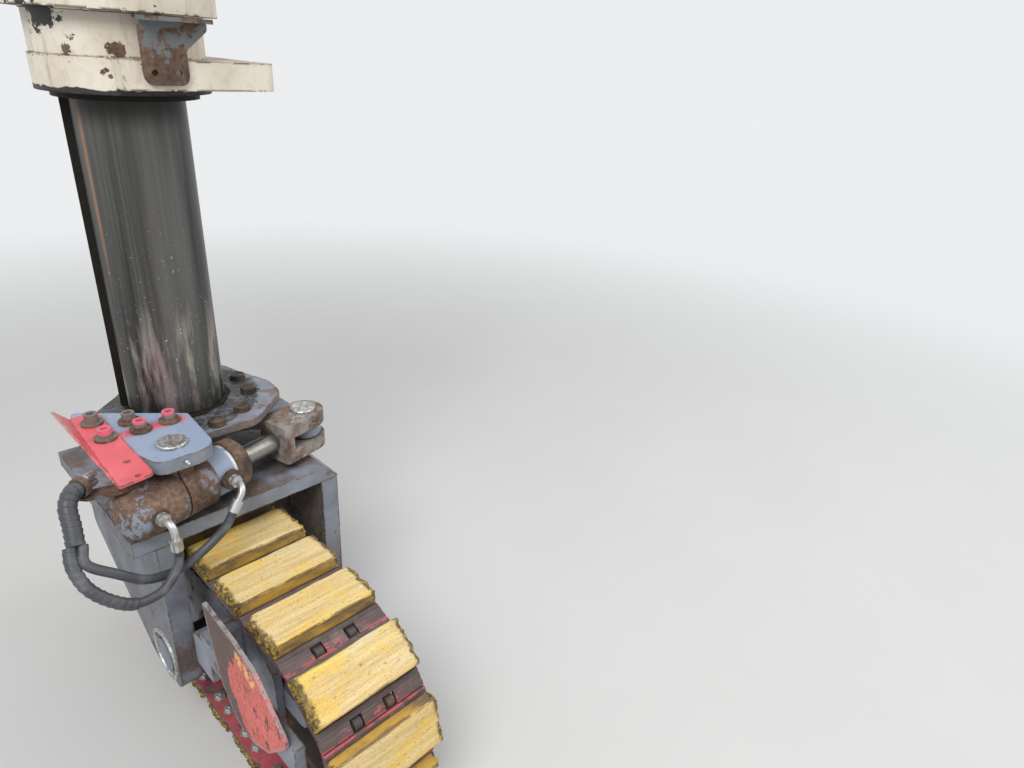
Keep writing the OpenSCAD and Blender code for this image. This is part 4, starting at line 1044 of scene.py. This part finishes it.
def hoses(material):
    pair = [Vector(p) for p in WRAP_ROUTE]
    rear = hose_route(REAR_PORT, 0.0, REAR_MIDDLE, -WRAP_SIDE)
    front = hose_route(FRONT_PORT, FRONT_LEAN, FRONT_MIDDLE, WRAP_SIDE)
    steps, fine = 10, 24
    covered = smooth_route(rear, fine)[4 * fine:]
    strip = wound(HOSE_R + 0.0034, lap=0.014, step=0.0018)
    wrap = wound(WRAP_R, lap=0.013, step=0.0022)
    # Columns: piece, route, radius, sides, node that it replaces
    table = [("rear_hose_rubber", smooth_route(rear, steps), bare, 20, ["rear_hose"]),
             ("front_hose_rubber", smooth_route(front, steps), bare, 20, ["front_hose"]),
             ("hose_winding", smooth_route(pair, fine), wrap, 40, ["hose_wrap"]),
             ("rear_hose_winding", covered, strip, 28, [])]
    for name, route, radius, sides, replaced in table:
        shape = Shape()
        shape.add(*tube(route, radius, sides), rod_frame())
        shape.piece(name, "steer_barrel", material, replaced)


# Welds, grease and small fittings

BEAD_R = 0.005
SLEEVE_BEAD_R = 0.004
RIPPLE = 0.0055
FINE_STEP = 0.0022
AXLE_BEAD = 0.0565
FLANGE_BEAD = (HOUSING_FOOT + 0.145, 0.161)
# Bolts and rings: how far in their faces lie, and their circles and counts
FRAME_INSET = 0.012
DRIVE_STEP = 0.056
DRIVE_CIRCLE = 0.092
DRIVE_BOLTS = 10
AXLE_RING_R = 0.064
ROLLERS = 4
ROLLER_BOLT_Y = 0.018


def bead(points, radius, closed, side, seed=0.0):
    """Weld bead with ripples along a line of points."""
    route = []
    for i, p in enumerate(points):
        ahead = points[(i + 1) % len(points)] if closed or i + 1 < len(points) else p
        behind = points[i - 1] if closed or i else p
        route.append((p, (ahead - behind).normalized()))

    def ripple(length, turn):
        wave = 0.16 * abs(math.sin(length * math.pi / RIPPLE)) + 0.14 * share(length * 60, seed, 0)
        return radius * (0.82 + wave)
    return tube(route, ripple, 8, side, closed)


def line(start, end):
    start, end = Vector(start), Vector(end)
    count = max(2, int((end - start).length / FINE_STEP))
    return [start.lerp(end, k / count) for k in range(count + 1)]


def circle(centre, radius, u, v, step=FINE_STEP):
    """Points round a centre, in the plane of the directions u and v."""
    count = int(2 * math.pi * radius / step)
    return [Vector(centre) + radius * (c * u + s * v) for c, s in round_turns(count)]


def frame_sides():
    """X of the track frame's two side plates, each with -1 for left or 1 for right."""
    low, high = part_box("track_frame")
    return (low.x + FRAME_INSET, -1), (high.x - FRAME_INSET, 1)


def welds(fork_material, sleeve_material):
    shape = Shape()
    for leg in ("fork_leg_outer", "fork_leg_inner"):
        low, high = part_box(leg)
        for x in (low.x, high.x):
            ends = (x, low.y + 0.004, LEG_TOP), (x, high.y - 0.004, LEG_TOP)
            shape.add(*bead(line(*ends), BEAD_R, False, Z, x))
    hub_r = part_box("swivel_hub")[1].x
    shape.add(*bead(circle((0, 0, FORK_TOP + 0.001), hub_r, X, Y), BEAD_R, True, Z))
    axle = middle("axle")
    for x, out in frame_sides():
        shape.add(*bead(circle((x, axle.y, axle.z), AXLE_BEAD, Y, Z), BEAD_R, True, X, out))
    shape.piece("fork_welds", "fork", fork_material)

    shape = Shape()
    for z, radius in ((0.0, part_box("seal_ring")[1].x), FLANGE_BEAD):
        shape.add(*bead(circle((0, 0, z), radius, X, Y), SLEEVE_BEAD_R, True, Z))
    shape.piece("sleeve_welds", "sleeve", sleeve_material)


def foot_grease(material):
    """Old grease pressed out round the tube's foot."""
    shape = Shape()
    points, sides = [], 10
    path = circle((0, 0, FLANGE_TOP), TUBE_R, X, Y, 0.004)
    for p in path:
        out = Vector((p.x, p.y, 0)).normalized()
        size = 0.004 + 0.01 * share(p.x * 25, p.y * 25, 3.0)
        for k, (c, s) in enumerate(round_turns(sides)):
            lump = size * (0.7 + 0.5 * share(p.x * 90, p.y * 90, k * 0.8))
            points.append(p + lump * (1.5 * c * out + 0.8 * s * Z))
    shape.add(points, ring_faces(len(path), sides, True))
    shape.piece("foot_grease", "column", material)


def grease_nipple(place, way):
    """Small nipple: foot, neck and ball. The profile's columns are radius and height."""
    where = Matrix.Translation(place) @ way.to_track_quat("Z", "Y").to_matrix().to_4x4()
    profile = [(0.0055, 0.0), (0.0055, 0.005), (0.0032, 0.006), (0.0026, 0.0098), (0.0034, 0.0112),
               (0.003, 0.014), (0.001, 0.015)]
    points = [Vector((r * c, r * s, z)) for r, z in profile for c, s in round_turns(12)]
    return points, ring_faces(len(profile), 12), where


def side_bolt(shape, place, turn, across, height):
    """Hexagon head that looks to the left where turn is -1 and to the right where it is 1."""
    where = Matrix.Translation(place) @ Matrix.Rotation(turn * math.pi / 2, 4, "Y")
    shape.add(*hexagon(across, height), where)


def fittings(material):
    shape = Shape()
    shape.add(*grease_nipple((-0.116, -0.333, (FLANGE_TOP + BRACKET_TOP) / 2), -Y))
    shape.piece("bracket_nipple", "column", material)

    shape = Shape()
    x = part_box("final_drive")[0].x + DRIVE_STEP
    centre = middle("sprocket")
    for k in range(DRIVE_BOLTS):
        turn = 2 * math.pi * (k + 0.5) / DRIVE_BOLTS
        place = (x, centre.y + DRIVE_CIRCLE * math.cos(turn), centre.z + DRIVE_CIRCLE * math.sin(turn))
        side_bolt(shape, place, -1, 0.019, 0.01)
    axle = middle("axle")
    ring = circle((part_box("fork_leg_outer")[0].x, axle.y, axle.z), AXLE_RING_R, Y, Z, 0.004)
    profile = ((0.002, 0.006), (-0.005, 0.005), (-0.005, -0.004), (0.002, -0.006))
    points = []
    for p in ring:
        out = Vector((0, p.y - axle.y, p.z - axle.z)).normalized()
        points += [p + x * X + r * out for x, r in profile]
    shape.add(points, ring_faces(len(ring), len(profile), True))
    low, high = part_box("bottom_rollers")
    radius = (high.z - low.z) / 2
    first, last = low.y + radius, high.y - radius
    for k in range(ROLLERS):
        y = first + k * (last - first) / (ROLLERS - 1)
        for x, turn in frame_sides():
            for dy in (-ROLLER_BOLT_Y, ROLLER_BOLT_Y):
                side_bolt(shape, (x, y + dy, low.z + radius), turn, 0.017, 0.008)
    shape.piece("frame_bolts", "fork", material, smooth=False)


# Stage

def backdrop_mix(nodes, lit, kind):
    """Shader that is the plain backdrop colour for the camera and in reflections, and lit elsewhere."""
    ray = nodes.node("ShaderNodeLightPath").outputs
    seen = nodes.either(ray["Is Camera Ray"], ray["Is Glossy Ray"], ray["Is Transmission Ray"])
    plain = nodes.node(kind, {"Color": BACKDROP}).outputs[0]
    return nodes.node("ShaderNodeMixShader", {0: seen, 1: lit, 2: plain}).outputs[0]


def floor(level):
    """Wide pale floor that keeps the unit's shadow and turns to the backdrop colour far from it."""
    bpy.ops.mesh.primitive_plane_add(size=FLOOR_SIZE, location=(0, 0, level))
    plane = bpy.context.object
    plane.name = "floor"
    f = Finish("floor_finish", specular=0.1)
    f.colour = f.mix(f.noise(1.5, detail=7), (0.68, 0.68, 0.67), (0.74, 0.74, 0.73))
    plane.data.materials.append(f.finish(0.9))
    lit = f.shader.outputs[0]
    values = {0: f.from_axis(*FLOOR_ENDS), 1: lit, 2: backdrop_mix(f, lit, "ShaderNodeEmission")}
    f.feed(f.output.inputs["Surface"], f.node("ShaderNodeMixShader", values).outputs[0])


def world():
    """Soft overcast sky for light, and the plain backdrop for the camera."""
    made = bpy.data.worlds.new("studio")
    made.use_nodes = True
    nodes = Nodes(made.node_tree)
    direction = nodes.node("ShaderNodeTexCoord").outputs["Generated"]
    height = nodes.node("ShaderNodeSeparateXYZ", {0: direction}).outputs["Z"]
    sky = nodes.colours(height, (0.0, (0.5, 0.5, 0.5)), (0.9, (0.98, 0.99, 1.0)))
    light = nodes.node("ShaderNodeBackground", {"Color": sky, "Strength": SKY_STRENGTH}).outputs[0]
    nodes.node("ShaderNodeOutputWorld", {"Surface": backdrop_mix(nodes, light, "ShaderNodeBackground")})
    bpy.context.scene.world = made


def lamp(name, place, target, size, power):
    data = bpy.data.lights.new(name, "AREA")
    data.shape = "DISK"
    data.size = size
    data.energy = power
    made = bpy.data.objects.new(name, data)
    made.location = place
    made.rotation_mode = "QUATERNION"
    made.rotation_quaternion = (Vector(target) - Vector(place)).to_track_quat("-Z", "Y")
    bpy.context.scene.collection.objects.link(made)


def camera():
    data = bpy.data.cameras.new("camera")
    data.sensor_width = 36.0
    data.lens = FOCAL_PIXELS / IMAGE_WIDTH * data.sensor_width
    data.clip_start, data.clip_end = 0.05, 200.0
    made = bpy.data.objects.new("camera", data)
    level = math.cos(PITCH_DOWN)
    forward = Vector((math.sin(YAW) * level, math.cos(YAW) * level, -math.sin(PITCH_DOWN)))
    right = Vector((math.cos(YAW), -math.sin(YAW), 0.0))
    down = forward.cross(right)
    right, down = (math.cos(ROLL) * right + math.sin(ROLL) * down,
                   -math.sin(ROLL) * right + math.cos(ROLL) * down)
    turn = Matrix((right, -down, -forward)).transposed()
    made.matrix_world = Matrix.Translation(EYE) @ turn.to_4x4()
    bpy.context.scene.collection.objects.link(made)
    bpy.context.scene.camera = made


camera()
world()
lamp("key", place=(-2.5, -2.5, 3.0), target=(0, -0.3, -1.0), size=2.5, power=160)
lamp("fill", place=(3.0, -2.0, 1.5), target=(0, -0.3, -1.2), size=3.0, power=48)
floor(GROUND)
materials = dress_nodes()
track_pads(pad())
track_shoes(shoe_steel())
track_links(link_steel())
shoe_bolts(materials["fitting_zinc"])
hoses(hose_rubber())
welds(materials["fork_grey"], materials["cream_paint"])
foot_grease(materials["grease"])
fittings(materials["zinc"])

bpy.context.scene.view_settings.view_transform = "Standard"
